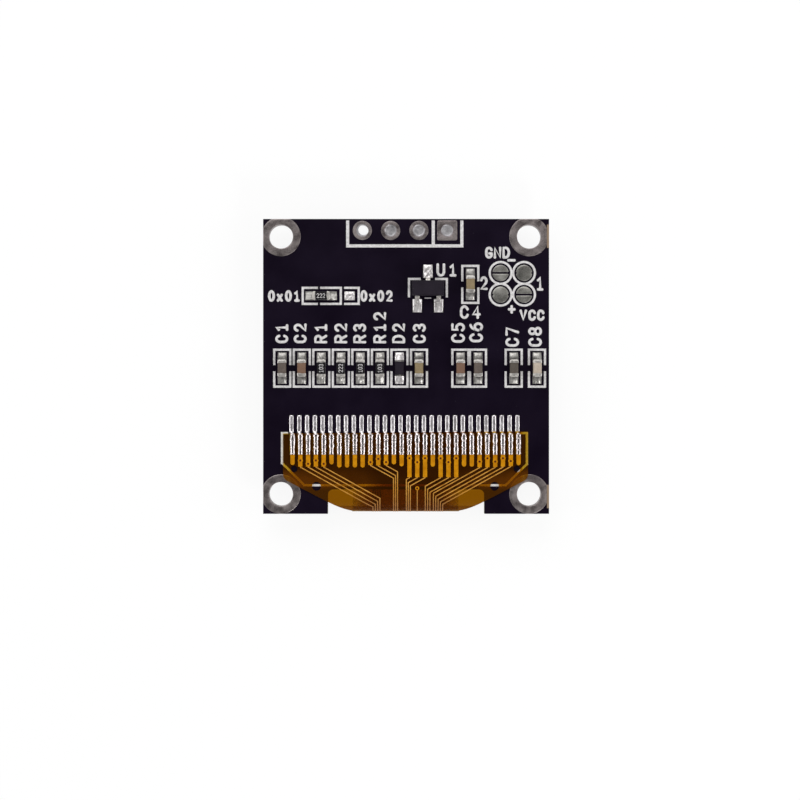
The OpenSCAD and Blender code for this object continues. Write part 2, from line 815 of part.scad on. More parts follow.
module flex_fingers() {
    color("#c98a1c")
        translate([0, 0, film_hi])
            linear_extrude(copper_t) {
                for (k = [0:len(blanks) - 1])
                    finger(finger_x(blanks[k]), tinned_y - blank_l[k] + finger_w / 2, true, 0);
                for (t = routed) finger(finger_x(t[0]), tinned_y - t[1], false, tinned_y - t[2]);
                translate(lone_via)
                    difference() {
                        circle(lone_pad_r);
                        circle(via_r);
                    }
            }
}

// Left and right edge of a conductor at corner k of its path, mitred
function mitre(path, k, half_w) =
    let (
        into = k > 0 ? path[k] - path[k - 1] : path[1] - path[0],
        out = k < len(path) - 1 ? path[k + 1] - path[k] : into,
        bisector = into / norm(into) + out / norm(out),
        along = bisector / norm(bisector),
        side = [-along.y, along.x] * half_w / ((along * into) / norm(into))
    )
    [path[k] + side, path[k] - side];

// A conductor leaves its contact at x and s, slants towards its place in the fold and goes
// round it. Its path has a point at each flat of the fold, on the slant as well as after it.
function conductor_path(start, lane_x) =
    let (
        kink = start + [0, trace_w / 2],
        aside = lane_x - kink.x,
        bend = kink + [aside, abs(aside) * tan(fan_angle)],
        slope = aside == 0 ? [0, 1] : (bend - kink) / (bend.y - kink.y),
        finish = [lane_x, half_turn + glass_y - fold_y - trace_w]
    )
    concat(
        [start, kink],
        [for (k = [0:fold_steps]) if (fold_s(k) < bend.y) kink + slope * (fold_s(k) - kink.y)],
        aside == 0 ? [] : [bend],
        [for (k = [0:fold_steps]) if (fold_s(k) > bend.y) [lane_x, fold_s(k)]],
        [finish]
    );

module conductor(start, lane_x) {
    path = conductor_path(start, lane_x);
    ring_strip([
        for (k = [0:len(path) - 1])
            let (edges = mitre(path, k, trace_w / 2)) ring(edges[1], edges[0], copper_t, trace_lift)
    ]);
}

module flex_traces() {
    color("#d9a25a") {
        for (t = routed) conductor([finger_x(t[0]), fold_y - tinned_y + t[1]], t[3]);
        conductor([lone_via.x, fold_y - lone_via.y + lone_pad_r], lone_via.x);
    }
}

// Solder drawn along each land, and over the end of the film along the contact
module flex_solder() {
    bead = 0.04;
    heel = 0.15;
    copper_top = film_hi + copper_t;
    width = finger_w - 2 * bead;
    color("#d6d1d0")
        for (i = [0:finger_count - 1]) {
            translate([land_x(i), 0, 0])
                across(width)
                    polygon([
                        [flex_land_top, land_top], [flex_land_top - bead, land_top + bead],
                        [flex_end_y + heel, land_top + 2 * bead], [flex_end_y, copper_top + bead],
                        [flex_end_y, land_top]
                    ]);
            translate([finger_x(i), 0, 0])
                across(width)
                    polygon([
                        [flex_end_y, copper_top], [flex_end_y, copper_top + bead],
                        [tinned_y + bead, copper_top + bead], [tinned_y, copper_top]
                    ]);
        }
}

circuit_board();
mounting_pads();
header_pads();
header_solder();
solder_jumper_pads();
component_lands();
flex_lands();
silkscreen();
solder_fillets();
capacitor_body(0);  // capacitor_1_body
capacitor_ends(0);  // capacitor_1_ends
capacitor_body(1);  // capacitor_2_body
capacitor_ends(1);  // capacitor_2_ends
capacitor_body(2);  // capacitor_3_body
capacitor_ends(2);  // capacitor_3_ends
capacitor_body(3);  // capacitor_4_body
capacitor_ends(3);  // capacitor_4_ends
capacitor_body(4);  // capacitor_5_body
capacitor_ends(4);  // capacitor_5_ends
capacitor_body(5);  // capacitor_6_body
capacitor_ends(5);  // capacitor_6_ends
capacitor_body(6);  // capacitor_7_body
capacitor_ends(6);  // capacitor_7_ends
capacitor_body(7);  // capacitor_8_body
capacitor_ends(7);  // capacitor_8_ends
resistor_body(0);  // resistor_1_body
resistor_ends(0);  // resistor_1_ends
resistor_body(1);  // resistor_2_body
resistor_ends(1);  // resistor_2_ends
resistor_body(2);  // resistor_3_body
resistor_ends(2);  // resistor_3_ends
resistor_body(3);  // resistor_4_body
resistor_ends(3);  // resistor_4_ends
resistor_body(4);  // resistor_5_body
resistor_ends(4);  // resistor_5_ends
diode_body();
diode_leads();
regulator_body();
regulator_leads();
polarizer();
front_glass();
oled_layer();
edge_seal();
desiccant();
rear_glass();
driver_chip();
foam_tape();
flex_bond();
flex_film();
flex_fingers();
flex_traces();
flex_solder();
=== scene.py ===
import json

import bmesh
import bpy
import numpy as np
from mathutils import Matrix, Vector


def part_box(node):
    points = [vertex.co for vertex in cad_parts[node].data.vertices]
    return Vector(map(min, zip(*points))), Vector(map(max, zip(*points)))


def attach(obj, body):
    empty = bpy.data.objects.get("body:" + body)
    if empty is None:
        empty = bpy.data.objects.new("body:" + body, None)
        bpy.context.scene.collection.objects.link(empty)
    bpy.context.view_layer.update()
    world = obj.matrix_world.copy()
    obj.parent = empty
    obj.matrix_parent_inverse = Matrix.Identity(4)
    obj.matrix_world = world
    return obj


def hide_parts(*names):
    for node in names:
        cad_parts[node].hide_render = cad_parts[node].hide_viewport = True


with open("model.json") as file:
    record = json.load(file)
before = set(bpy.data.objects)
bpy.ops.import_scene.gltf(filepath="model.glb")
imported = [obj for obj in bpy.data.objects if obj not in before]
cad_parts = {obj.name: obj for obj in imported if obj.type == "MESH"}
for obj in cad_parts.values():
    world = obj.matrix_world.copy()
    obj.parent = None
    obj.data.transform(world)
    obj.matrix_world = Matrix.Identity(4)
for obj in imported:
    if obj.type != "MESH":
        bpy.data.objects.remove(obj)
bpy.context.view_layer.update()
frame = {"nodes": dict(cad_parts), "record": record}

# ---- Circuit board ----
# The board is pressed glass fibre and resin, milled and drilled, with near-black lacquer on
# both faces. Its cut edges and the walls of the notch show the bare laminate.

MM = 0.001
cad_nodes = frame["nodes"]


def feed(tree, socket, value):
    """Links a socket to another one, or sets its plain value."""
    if isinstance(value, bpy.types.NodeSocket):
        tree.links.new(value, socket)
    else:
        socket.default_value = value


def add(tree, kind, inputs=(), **settings):
    """Adds a shader node; inputs maps socket names or numbers to values or sockets."""
    made = tree.nodes.new(kind)
    for name, value in settings.items():
        setattr(made, name, value)
    for name, value in dict(inputs).items():
        feed(tree, made.inputs[name], value)
    return made


def math(tree, operation, a, b=0.0, clamp=False):
    """Result of a Math node."""
    made = add(tree, "ShaderNodeMath", {0: a, 1: b}, operation=operation, use_clamp=clamp)
    return made.outputs["Value"]


def mean(tree, a, b):
    """Half the sum of two values."""
    return math(tree, "MULTIPLY", math(tree, "ADD", a, b), 0.5)


def blend_colours(tree, mask, low, high):
    """Colour that goes from low to high as the mask goes from 0 to 1."""
    made = add(tree, "ShaderNodeMix", data_type="RGBA")
    feed(tree, made.inputs["Factor"], mask)
    for socket, value in ((made.inputs[6], low), (made.inputs[7], high)):
        feed(tree, socket, value if isinstance(value, bpy.types.NodeSocket) else (*value, 1))
    return made.outputs[2]


def spread(tree, value, low, high, from_low=0.0, from_high=1.0):
    """Value moved from one range to another and held inside it."""
    made = add(tree, "ShaderNodeMapRange", {
        "Value": value, "From Min": from_low, "From Max": from_high, "To Min": low, "To Max": high})
    return made.outputs["Result"]


def bump(tree, height, depth_mm):
    """Normal from a height of 0 to 1 that stands for depth_mm."""
    made = add(tree, "ShaderNodeBump", {
        "Height": height, "Distance": depth_mm * MM, "Strength": 1.0})
    return made.outputs["Normal"]


def new_group(name, inputs, outputs):
    """Empty shader node group with float inputs (name: value) and named outputs."""
    tree = bpy.data.node_groups.new(name, "ShaderNodeTree")
    for label, value in inputs.items():
        socket = tree.interface.new_socket(label, in_out="INPUT", socket_type="NodeSocketFloat")
        socket.default_value = value
    for label in outputs:
        tree.interface.new_socket(label, in_out="OUTPUT", socket_type="NodeSocketFloat")
    return tree, tree.nodes.new("NodeGroupInput").outputs, tree.nodes.new("NodeGroupOutput").inputs


def use(tree, group, inputs=()):
    """Places a group in a material and gives its outputs."""
    made = tree.nodes.new("ShaderNodeGroup")
    made.node_tree = group
    for name, value in dict(inputs).items():
        feed(tree, made.inputs[name], value)
    return made.outputs


def object_place(tree):
    """Object coordinates, in metres."""
    return add(tree, "ShaderNodeTexCoord").outputs["Object"]


def place_on(tree):
    """X, Y and Z of the Object coordinates."""
    return add(tree, "ShaderNodeSeparateXYZ", {"Vector": object_place(tree)}).outputs


def scaled_place(tree, size):
    """Object coordinates counted in grains of size millimetres."""
    grains = math(tree, "DIVIDE", 1 / MM, size)
    made = add(tree, "ShaderNodeVectorMath", {
        0: object_place(tree), "Scale": grains}, operation="SCALE")
    return made.outputs["Vector"]


# Mottle: soft patches of a size in millimetres, from 0 to 1, sharpened by Contrast.
mottle, ins, outs = new_group("mottle", {"Size": 1.0, "Detail": 3.0, "Contrast": 1.5}, ["Mask"])
patches = add(mottle, "ShaderNodeTexNoise", {
    "Vector": scaled_place(mottle, ins["Size"]), "Scale": 1.0, "Detail": ins["Detail"]})
centred = math(mottle, "SUBTRACT", patches.outputs["Fac"], 0.5)
lifted = math(mottle, "MULTIPLY", centred, ins["Contrast"])
feed(mottle, outs["Mask"], math(mottle, "ADD", lifted, 0.5, clamp=True))


def mottled(tree, size, contrast=1.5, detail=3.0):
    """The mask of mottle in a material or group."""
    return use(tree, mottle, {"Size": size, "Detail": detail, "Contrast": contrast})["Mask"]


# Specks: small round grains of dust or pits, 1 on a speck. Share is how many cells hold one.
specks, ins, outs = new_group("specks", {"Size": 0.3, "Share": 0.2, "Radius": 0.3}, ["Mask"])
cells = add(specks, "ShaderNodeTexVoronoi", {
    "Vector": scaled_place(specks, ins["Size"]), "Scale": 1.0})
near = math(specks, "LESS_THAN", cells.outputs["Distance"], ins["Radius"])
drawn = add(specks, "ShaderNodeSeparateColor", {"Color": cells.outputs["Color"]}).outputs["Red"]
holds_one = math(specks, "LESS_THAN", drawn, ins["Share"])
feed(specks, outs["Mask"], math(specks, "MULTIPLY", near, holds_one))


def specked(tree, size, share, radius):
    """The mask of specks in a material; radius is counted in cells of the size."""
    return use(tree, specks, {"Size": size, "Share": share, "Radius": radius})["Mask"]


def new_material(name, **plain):
    """Principled material; plain sets the sockets that are the same all over."""
    material = bpy.data.materials.new(name)
    material.use_nodes = True
    tree = material.node_tree
    tree.nodes.clear()
    shader = tree.nodes.new("ShaderNodeBsdfPrincipled")
    for label, value in plain.items():
        shader.inputs[label.replace("_", " ")].default_value = value
    output = tree.nodes.new("ShaderNodeOutputMaterial")
    tree.links.new(shader.outputs["BSDF"], output.inputs["Surface"])
    return material, tree, shader.inputs


def paint(tree, ports, colour, roughness, normal):
    """Feeds what changes over the surface of a material."""
    for label, value in (("Base Color", colour), ("Roughness", roughness), ("Normal", normal)):
        feed(tree, ports[label], value)


def dress(node, material):
    """Gives a CAD node its material."""
    mesh = cad_nodes[node].data
    mesh.materials.clear()
    mesh.materials.append(material)


MASK_DARK, MASK_LIGHT = (0.0032, 0.0013, 0.0058), (0.0066, 0.0034, 0.0110)
LAMINATE_DARK, LAMINATE_LIGHT = (0.085, 0.076, 0.040), (0.150, 0.135, 0.078)
DUST, BARE_LAMINATE = (0.16, 0.15, 0.17), (0.26, 0.19, 0.13)
DUST_COVER = 0.1
CLOTH_LINES = 1100.0
FACE_ROUGHNESS, CUT_ROUGHNESS = (0.34, 0.46), 0.75
# Where the mask leaves the laminate bare: past an x, and within a reach of a height, in mm.
BARE_X, BARE_Y, BARE_REACH = 12.66, 11.7, 1.05

solder_mask, tree, ports = new_material("solder_mask", Specular_IOR_Level=0.07)
clouds = mottled(tree, 3.5, 1.8)
orange_peel = mottled(tree, 0.35, detail=2.0)
dust = specked(tree, 0.55, 0.06, 0.07)
lacquer = blend_colours(tree, clouds, MASK_DARK, MASK_LIGHT)
lacquer = blend_colours(tree, math(tree, "MULTIPLY", dust, DUST_COVER), lacquer, DUST)
face_up = add(tree, "ShaderNodeSeparateXYZ", {
    "Vector": add(tree, "ShaderNodeNewGeometry").outputs["Normal"]}).outputs["Z"]
is_face = math(tree, "GREATER_THAN", math(tree, "ABSOLUTE", face_up), 0.5)
cloth = add(tree, "ShaderNodeTexWave", {
    "Vector": object_place(tree), "Scale": CLOTH_LINES, "Distortion": 6.0, "Detail": 3.0,
    "Detail Scale": 0.6}, bands_direction="Z").outputs["Fac"]
fray = mottled(tree, 0.12, 2.5, 4.0)
laminate = blend_colours(tree, mean(tree, cloth, fray), LAMINATE_DARK, LAMINATE_LIGHT)
place = place_on(tree)
past_ring = math(tree, "GREATER_THAN", place["X"], BARE_X * MM)
from_ring = math(tree, "SUBTRACT", math(tree, "ABSOLUTE", place["Y"]), BARE_Y * MM)
beside_ring = math(tree, "LESS_THAN", math(tree, "ABSOLUTE", from_ring), BARE_REACH * MM)
bare = math(tree, "MULTIPLY", past_ring, beside_ring)
lacquer = blend_colours(tree, bare, lacquer, BARE_LAMINATE)
gloss = add(tree, "ShaderNodeMix", {
    0: is_face, 2: CUT_ROUGHNESS, 3: spread(tree, clouds, *FACE_ROUGHNESS)}, data_type="FLOAT")
paint(tree, ports, blend_colours(tree, is_face, laminate, lacquer), gloss.outputs[0],
      bump(tree, orange_peel, depth_mm=0.004))
dress("circuit_board", solder_mask)


# ---- Plated holes: four mounting holes and the header row ----
# Copper pads with a barrel through the board, coated with tin by dipping and blowing off, so
# the tin stands in a low cushion on each rim and thins out towards the edges.

def corners(node):
    """Lowest and highest corner of a CAD node's box, in millimetres."""
    low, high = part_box(node)
    return np.array(low) / MM, np.array(high) / MM


def heights(node):
    """Lowest and highest z of a CAD node."""
    low, high = corners(node)
    return low[2], high[2]


BOARD_LOW, BOARD_TOP = heights("circuit_board")
PLATE = heights("mounting_pads")[1] - BOARD_TOP
ROUND = np.linspace(0, 2 * np.pi, 96, endpoint=False)


def grid_faces(rows, columns, closed_rows=False, closed_columns=False):
    """Four-cornered faces over a grid of points numbered row by row, joined end to end where
    it is closed."""
    row = np.arange(rows if closed_rows else rows - 1)[:, None]
    column = np.arange(columns if closed_columns else columns - 1)[None, :]
    next_row, next_column = (row + 1) % rows, (column + 1) % columns
    faces = np.stack([
        row * columns + column, row * columns + next_column,
        next_row * columns + next_column, next_row * columns + column], axis=-1)
    return faces.reshape(-1, 4)


def make_piece(name, parts, material, replaced=(), smooth_angle=40.0):
    """One object from several closed surfaces. Each part is (points in millimetres, faces).
    Doubled points are merged, which closes the poles, and the faces are turned outwards."""
    counts = np.cumsum([0] + [len(points) for points, _ in parts])
    points = np.concatenate([part[0] for part in parts]) * MM
    faces = np.concatenate([part[1] + start for part, start in zip(parts, counts)])
    mesh = bpy.data.meshes.new(name)
    mesh.from_pydata(points, [], faces.tolist())
    return finish_piece(name, mesh, material, replaced, smooth_angle)


def new_object(name, data):
    """Object in the scene, at the origin."""
    made = bpy.data.objects.new(name, data)
    bpy.context.scene.collection.objects.link(made)
    return made


def finish_piece(name, mesh, material, replaced=(), smooth_angle=40.0):
    """Cleans a mesh, smooths it except at its sharp edges, and fastens it to the model."""
    work = bmesh.new()
    work.from_mesh(mesh)
    bmesh.ops.remove_doubles(work, verts=work.verts, dist=2e-4 * MM)
    bmesh.ops.dissolve_degenerate(work, edges=work.edges, dist=1e-4 * MM)
    bmesh.ops.recalc_face_normals(work, faces=work.faces)
    work.to_mesh(mesh)
    work.free()
    mesh.shade_smooth()
    mesh.set_sharp_from_angle(angle=np.radians(smooth_angle))
    mesh.materials.append(material)
    piece = new_object(name, mesh)
    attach(piece, "root")
    if replaced:
        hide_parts(*replaced)
    return piece


def carried_round(centre, radius, height, closed_profile):
    """Profile carried round a centre. radius and height have a row for each of its points; the
    surface there is centre + radius (cos, sin) at that height."""
    points = np.stack(np.broadcast_arrays(
        centre[0] + radius * np.cos(ROUND), centre[1] + radius * np.sin(ROUND), height), axis=-1)
    return points.reshape(-1, 3), grid_faces(len(radius), len(ROUND), closed_profile, True)


def plated_hole(centre, hole_r, outline):
    """Rim, barrel and rim, as one closed profile carried round the hole. t runs from 0 at the
    hole to 1 at the pad's outline, where the tin's height is that of the plating times the
    square root of 1 - |2t - 1|^10. Behind the barrel the profile runs back along the board."""
    t = (1 - np.cos(np.linspace(0, np.pi, 15))) / 2
    lift = PLATE * np.sqrt(1 - np.abs(2 * t - 1) ** 10)
    reach = hole_r + t[:, None] * (outline - hole_r)
    back = np.full((2, len(ROUND)), hole_r + PLATE)
    radius = np.concatenate([reach[::-1], reach, back])
    height = np.concatenate([BOARD_TOP + lift[::-1], BOARD_LOW - lift, [BOARD_LOW, BOARD_TOP]])
    return carried_round(centre, radius, height[:, None], True)


def power_curve(angles, wide, high, power):
    """Radius at each angle of the curve |x / wide|^power + |y / high|^power = 1, which is a
    square with round corners."""
    x, y = np.abs(np.cos(angles) / wide), np.abs(np.sin(angles) / high)
    return (x ** power + y ** power) ** (-1 / power)


def clipped(centre, radius, low, high):
    """Circle's radius at each angle, cut off at the lines x or y = low and high."""
    reach = np.full(len(ROUND), radius)
    for axis, direction in enumerate((np.cos(ROUND), np.sin(ROUND))):
        room = np.where(direction > 0, high[axis] - centre[axis], centre[axis] - low[axis])
        reach = np.minimum(reach, room / np.maximum(np.abs(direction), 1e-6))
    return reach


# Tin skin: the shades, gloss and pits of tin or solder that has set. Patch is the size of its
# clouds and Pit that of its pits, in millimetres. Each output takes a share of the clouds, and
# the rest of the pits.
tin_skin, ins, outs = new_group(
    "tin_skin", {"Patch": 0.6, "Pit": 0.12}, ["Shade", "Dullness", "Height"])
cloud = mottled(tin_skin, ins["Patch"], 2.5)
pit = mottled(tin_skin, ins["Pit"], 2.6, 4.0)
for label, cloud_share in (("Shade", 0.6), ("Dullness", 1.0), ("Height", 0.35)):
    clouded = math(tin_skin, "MULTIPLY", cloud, cloud_share)
    pitted = math(tin_skin, "MULTIPLY", pit, 1 - cloud_share)
    feed(tin_skin, outs[label], math(tin_skin, "ADD", clouded, pitted))


def tin_finish(name, dark, light, rough, patch, pit, relief, metallic=1.0):
    """Tin or solder in two shades. rough is its lowest and highest roughness; patch, pit and
    relief are the sizes of its clouds and pits and the depth of the pits, in millimetres."""
    material, tree, ports = new_material(name, Metallic=metallic)
    skin = use(tree, tin_skin, {"Patch": patch, "Pit": pit})
    paint(tree, ports, blend_colours(tree, skin["Shade"], dark, light),
          spread(tree, skin["Dullness"], *rough), bump(tree, skin["Height"], relief))
    return material


tin_plating = tin_finish(
    "tin_plating", (0.085, 0.070, 0.070), (0.37, 0.325, 0.318), rough=(0.3, 0.5), patch=0.7,
    pit=0.09, relief=0.006, metallic=0.85)

mounts = {mount["name"]: mount for mount in frame["record"]["mounts"]}
pattern = mounts["mounting_holes"]
pattern_at = np.array(pattern["pos_m"]) / MM
hole_span = np.array([pattern["dims"]["spacing_x_mm"], pattern["dims"]["spacing_y_mm"]])
HOLE_R = pattern["dims"]["hole_r_mm"]
RING_R = 1.78
ring_low, ring_high = corners("mounting_pads")
hole_places = [
    pattern_at[:2] + hole_span * np.array([i, j]) / 2 for i in (-1, 1) for j in (-1, 1)]
make_piece(
    "tinned_mounting_rings",
    [plated_hole(at, HOLE_R, clipped(at, RING_R, ring_low, ring_high)) for at in hole_places],
    tin_plating, ["mounting_pads"])

HEADER_HOLE_R = 0.55
SQUARE_CORNER, SQUARE_EXTRA = 0.06, 0.04
header_low, header_high = corners("header_pads")
SQUARE_HALF = (header_high[1] - header_low[1]) / 2
PAD_R = SQUARE_HALF - SQUARE_EXTRA
header_y = (header_low[1] + header_high[1]) / 2
header_xs = np.linspace(header_low[0] + PAD_R, header_high[0] - SQUARE_HALF, 4)
square = power_curve(ROUND, SQUARE_HALF, SQUARE_HALF, 2 + SQUARE_HALF / SQUARE_CORNER)
outlines = [np.full(len(ROUND), PAD_R)] * 3 + [square]
header_parts = [plated_hole((x, header_y), HEADER_HOLE_R, outline)
                for x, outline in zip(header_xs, outlines)]
make_piece("tinned_header_pads", header_parts, tin_plating, ["header_pads"])

PLUG_LOW, PLUG_TOP = heights("header_solder")
MENISCUS = 0.14


def hole_plug(centre, inner):
    """Solder between an inner outline and the barrel. w runs from 0 at the inner outline to 1 at
    the barrel, where the surface climbs by the meniscus times w^11, and it rounds down to the
    inner outline by the square root of 1 - (1 - w)^8."""
    w = np.sin(np.linspace(0, np.pi / 2, 18))
    reach = inner + w[:, None] * (HEADER_HOLE_R - inner)
    thick = (PLUG_TOP - PLUG_LOW) / 2
    lift = np.where(inner[None, :] > 0.01, np.sqrt(1 - (1 - w[:, None]) ** 8), 1.0) * thick
    lift = lift + (MENISCUS * w ** 11)[:, None]
    radius = np.concatenate([reach, reach[::-1]])
    height = (PLUG_TOP + PLUG_LOW) / 2 + np.concatenate([lift, -lift[::-1]])
    return carried_round(centre, radius, height, False)


BUBBLE_R, BUBBLE_SHIFT, THIN_WALL = 0.48, 0.15, 0.015
swing = ROUND - np.pi / 4
aside = BUBBLE_SHIFT * np.sin(swing)
bubble = BUBBLE_SHIFT * np.cos(swing) + np.sqrt(BUBBLE_R ** 2 - aside ** 2)
plugs = [hole_plug((header_xs[0], header_y), np.minimum(bubble, HEADER_HOLE_R - THIN_WALL))]
plugs += [hole_plug((x, header_y), np.zeros(len(ROUND))) for x in header_xs[1:]]
plug_tin = tin_finish(
    "plug_tin", (0.235, 0.228, 0.24), (0.60, 0.585, 0.60), rough=(0.36, 0.52), patch=0.35,
    pit=0.06, relief=0.006, metallic=0.8)
make_piece("header_hole_plugs", plugs, plug_tin, ["header_solder"])


# ---- Round solder jumpers ----
# Four discs beside the regulator, of the board's copper with a coat of tin. Two are split by a
# strip of bare board, where a drop of solder would choose how the supply pins are wired. The
# two whole ones have a small nick on the left and on the right.

SPLIT = 0.17
JUMPER_R = 0.73
NICK, NICK_SHARE = 0.1, 0.09
jumper_low, jumper_high = corners("solder_jumper_pads")
left_x, right_x = jumper_low[0] + JUMPER_R, jumper_high[0] - JUMPER_R
low_y, high_y = jumper_low[1] + JUMPER_R, jumper_high[1] - JUMPER_R


def cushion_of_tin(centre, outline, base, height, roundness=6):
    """Low cushion over a flat outline. rho runs from 0 in the middle to 1 at the outline, and
    the height is that of the cushion times the square root of 1 - rho^roundness. The flat
    underside runs back to the middle."""
    rho = np.sin(np.linspace(0, np.pi / 2, 14))
    rise = np.append(height * np.sqrt(np.clip(1 - rho ** roundness, 0, 1)), 0)
    radius = np.append(rho, 0)[:, None] * outline
    return carried_round(centre, radius, base + rise[:, None], False)


def half_disc(side):
    """Outline of the upper (1) or lower (-1) half of a split disc, seen from a point inside
    it: the nearer of the arc and the straight cut at each angle."""
    inside = side * 0.42 * JUMPER_R
    along = inside * np.sin(ROUND)
    arc = -along + np.sqrt(along ** 2 + JUMPER_R ** 2 - inside ** 2)
    towards_cut = -side * np.sin(ROUND)
    cut = (abs(inside) - SPLIT / 2) / np.maximum(towards_cut, 1e-6)
    return np.array([0, inside]), np.minimum(arc, cut)


nicked = JUMPER_R - NICK * np.exp(-(np.sin(ROUND) / NICK_SHARE) ** 2)
jumper_parts = [
    cushion_of_tin(np.array(at), nicked, BOARD_TOP, PLATE)
    for at in ((right_x, high_y), (left_x, low_y))]
for at in ((left_x, high_y), (right_x, low_y)):
    for side in (-1, 1):
        shift, outline = half_disc(side)
        jumper_parts.append(cushion_of_tin(np.array(at) + shift, outline, BOARD_TOP, PLATE))
disc_tin = tin_finish(
    "disc_tin", (0.12, 0.117, 0.107), (0.50, 0.487, 0.45), rough=(0.28, 0.46), patch=0.9,
    pit=0.08, relief=0.006, metallic=0.85)
make_piece("tinned_jumper_discs", jumper_parts, disc_tin, ["solder_jumper_pads"])


# ---- Printed legend ----
# White epoxy ink, screen printed over the lacquer. The lines come from the frame; the letters
# are the plain codes of the parts, drawn with a round pen, each stroke a little higher along
# its middle.

INK_DARK, INK_LIGHT, INK_GAP = (0.46, 0.445, 0.445), (0.73, 0.715, 0.715), (0.12, 0.11, 0.14)

legend_ink, tree, ports = new_material("legend_ink", Specular_IOR_Level=0.3)
weave = mottled(tree, 0.16, 2.2)
gaps = specked(tree, 0.4, 0.12, 0.12)
ink = blend_colours(tree, weave, INK_DARK, INK_LIGHT)
ink = blend_colours(tree, math(tree, "MULTIPLY", gaps, 0.5), ink, INK_GAP)
paint(tree, ports, ink, spread(tree, weave, 0.55, 0.8), bump(tree, weave, 0.006))
dress("silkscreen", legend_ink)

INK_T = 0.02
PEN = 0.235


def arc(x, y, wide, high, start, end):
    """Points along part of an ellipse, about one for each 18 degrees."""
    angles = np.radians(np.linspace(start, end, 2 + int(abs(end - start) / 18)))
    return list(zip(x + wide * np.cos(angles), y + high * np.sin(angles)))


GLYPHS = {
    "0": [arc(0.34, 0.5, 0.34, 0.5, 90, 450)],
    "1": [[(0.12, 0.78), (0.36, 1), (0.36, 0)], [(0.12, 0), (0.6, 0)]],
    "2": [[*arc(0.34, 0.69, 0.32, 0.31, 165, -35), (0.02, 0), (0.68, 0)]],
    "3": [arc(0.32, 0.75, 0.3, 0.25, 150, -90), arc(0.32, 0.25, 0.34, 0.25, 90, -150)],
    "4": [[(0.5, 0), (0.5, 1), (0, 0.3), (0.68, 0.3)]],
    "5": [[(0.62, 1), (0.1, 1), (0.05, 0.55), *arc(0.32, 0.32, 0.35, 0.32, 125, -145)]],
    "6": [[*arc(0.34, 0.31, 0.34, 0.31, 180, -180), *arc(0.62, 0.31, 0.62, 0.69, 180, 100)]],
    "7": [[(0, 1), (0.66, 1), (0.24, 0)]],
    "8": [arc(0.34, 0.75, 0.28, 0.25, -90, 270), arc(0.34, 0.25, 0.34, 0.25, 90, 450)],
    "C": [[*arc(0.36, 0.66, 0.34, 0.34, 15, 180), *arc(0.36, 0.34, 0.34, 0.34, 180, 345)]],
    "D": [[(0, 0), (0, 1), *arc(0.3, 0.5, 0.38, 0.5, 90, -90), (0, 0)]],
    "G": [[*arc(0.36, 0.66, 0.34, 0.34, 20, 180), *arc(0.36, 0.34, 0.34, 0.34, 180, 360),
           (0.7, 0.42), (0.42, 0.42)]],
    "N": [[(0, 0), (0, 1), (0.68, 0), (0.68, 1)]],
    "R": [[(0, 0), (0, 1), *arc(0.4, 0.74, 0.28, 0.26, 90, -90), (0, 0.48)],
          [(0.36, 0.48), (0.68, 0)]],
    "U": [[(0, 1), *arc(0.34, 0.34, 0.34, 0.34, 180, 360), (0.68, 1)]],
    "V": [[(0, 1), (0.34, 0), (0.68, 1)]],
    "x": [[(0.04, 0.62), (0.6, 0)], [(0.6, 0.62), (0.04, 0)]],
    "+": [[(0, 0.35), (0.7, 0.35)], [(0.35, 0), (0.35, 0.7)]],
    "-": [[(0, 0.35), (0.7, 0.35)]],
}


def pen_stroke(path, pen, base, ink_t):
    """Ridge of ink along a path. At each end it closes in a half circle, whose half width is
    the pen's radius times sin(phi). u runs from -1 to 1 across, and the height is that of the
    ink times 1 - u^4, lower at the ends by the root of sin(phi). Corners take the direction
    halfway between their two sides."""
    radius = pen / 2
    path = np.array(path, float)
    steps = np.diff(path, axis=0)
    steps /= np.linalg.norm(steps, axis=1, keepdims=True)
    along = np.concatenate([steps[:1], steps[:-1] + steps[1:], steps[-1:]])
    along /= np.linalg.norm(along, axis=1, keepdims=True)
    phi = np.linspace(0, np.pi / 2, 6)[:-1]
    first = path[0] - np.outer(np.cos(phi), along[0]) * radius
    last = path[-1] + np.outer(np.cos(phi), along[-1])[::-1] * radius
    centres = np.concatenate([first, path, last])
    direction = np.concatenate([[along[0]] * len(phi), along, [along[-1]] * len(phi)])
    half = np.concatenate([np.sin(phi), np.ones(len(path)), np.sin(phi)[::-1]])
    across = np.stack([-direction[:, 1], direction[:, 0]], axis=1)
    u = np.linspace(-1, 1, 7)
    points = np.empty((len(centres), len(u), 3))
    aside = across[:, None] * (u * radius)[None, :, None] * half[:, None, None]
    points[..., :2] = centres[:, None] + aside
    points[..., 2] = base + ink_t * (1 - u ** 4) * half[:, None] ** 0.5
    return points.reshape(-1, 3), grid_faces(len(centres), len(u), False, True)


def lettering(words, at, height, advance, turned=False, pen=PEN, base=BOARD_TOP, ink_t=INK_T,
              slim=0.85):
    """Strokes of a word. at is the lower left corner of its first letter's pen path, height
    the path's height, advance the step to the next letter, and slim what a letter's width is
    scaled by. A turned word reads upwards."""
    strokes = []
    for k, letter in enumerate(words):
        for path in GLYPHS[letter]:
            flat = np.array(path) * [height * slim, height] + [k * advance, 0]
            if turned:
                flat = np.stack([-flat[:, 1], flat[:, 0]], axis=1)
            strokes.append(pen_stroke(flat + at, pen, base, ink_t))
    return strokes


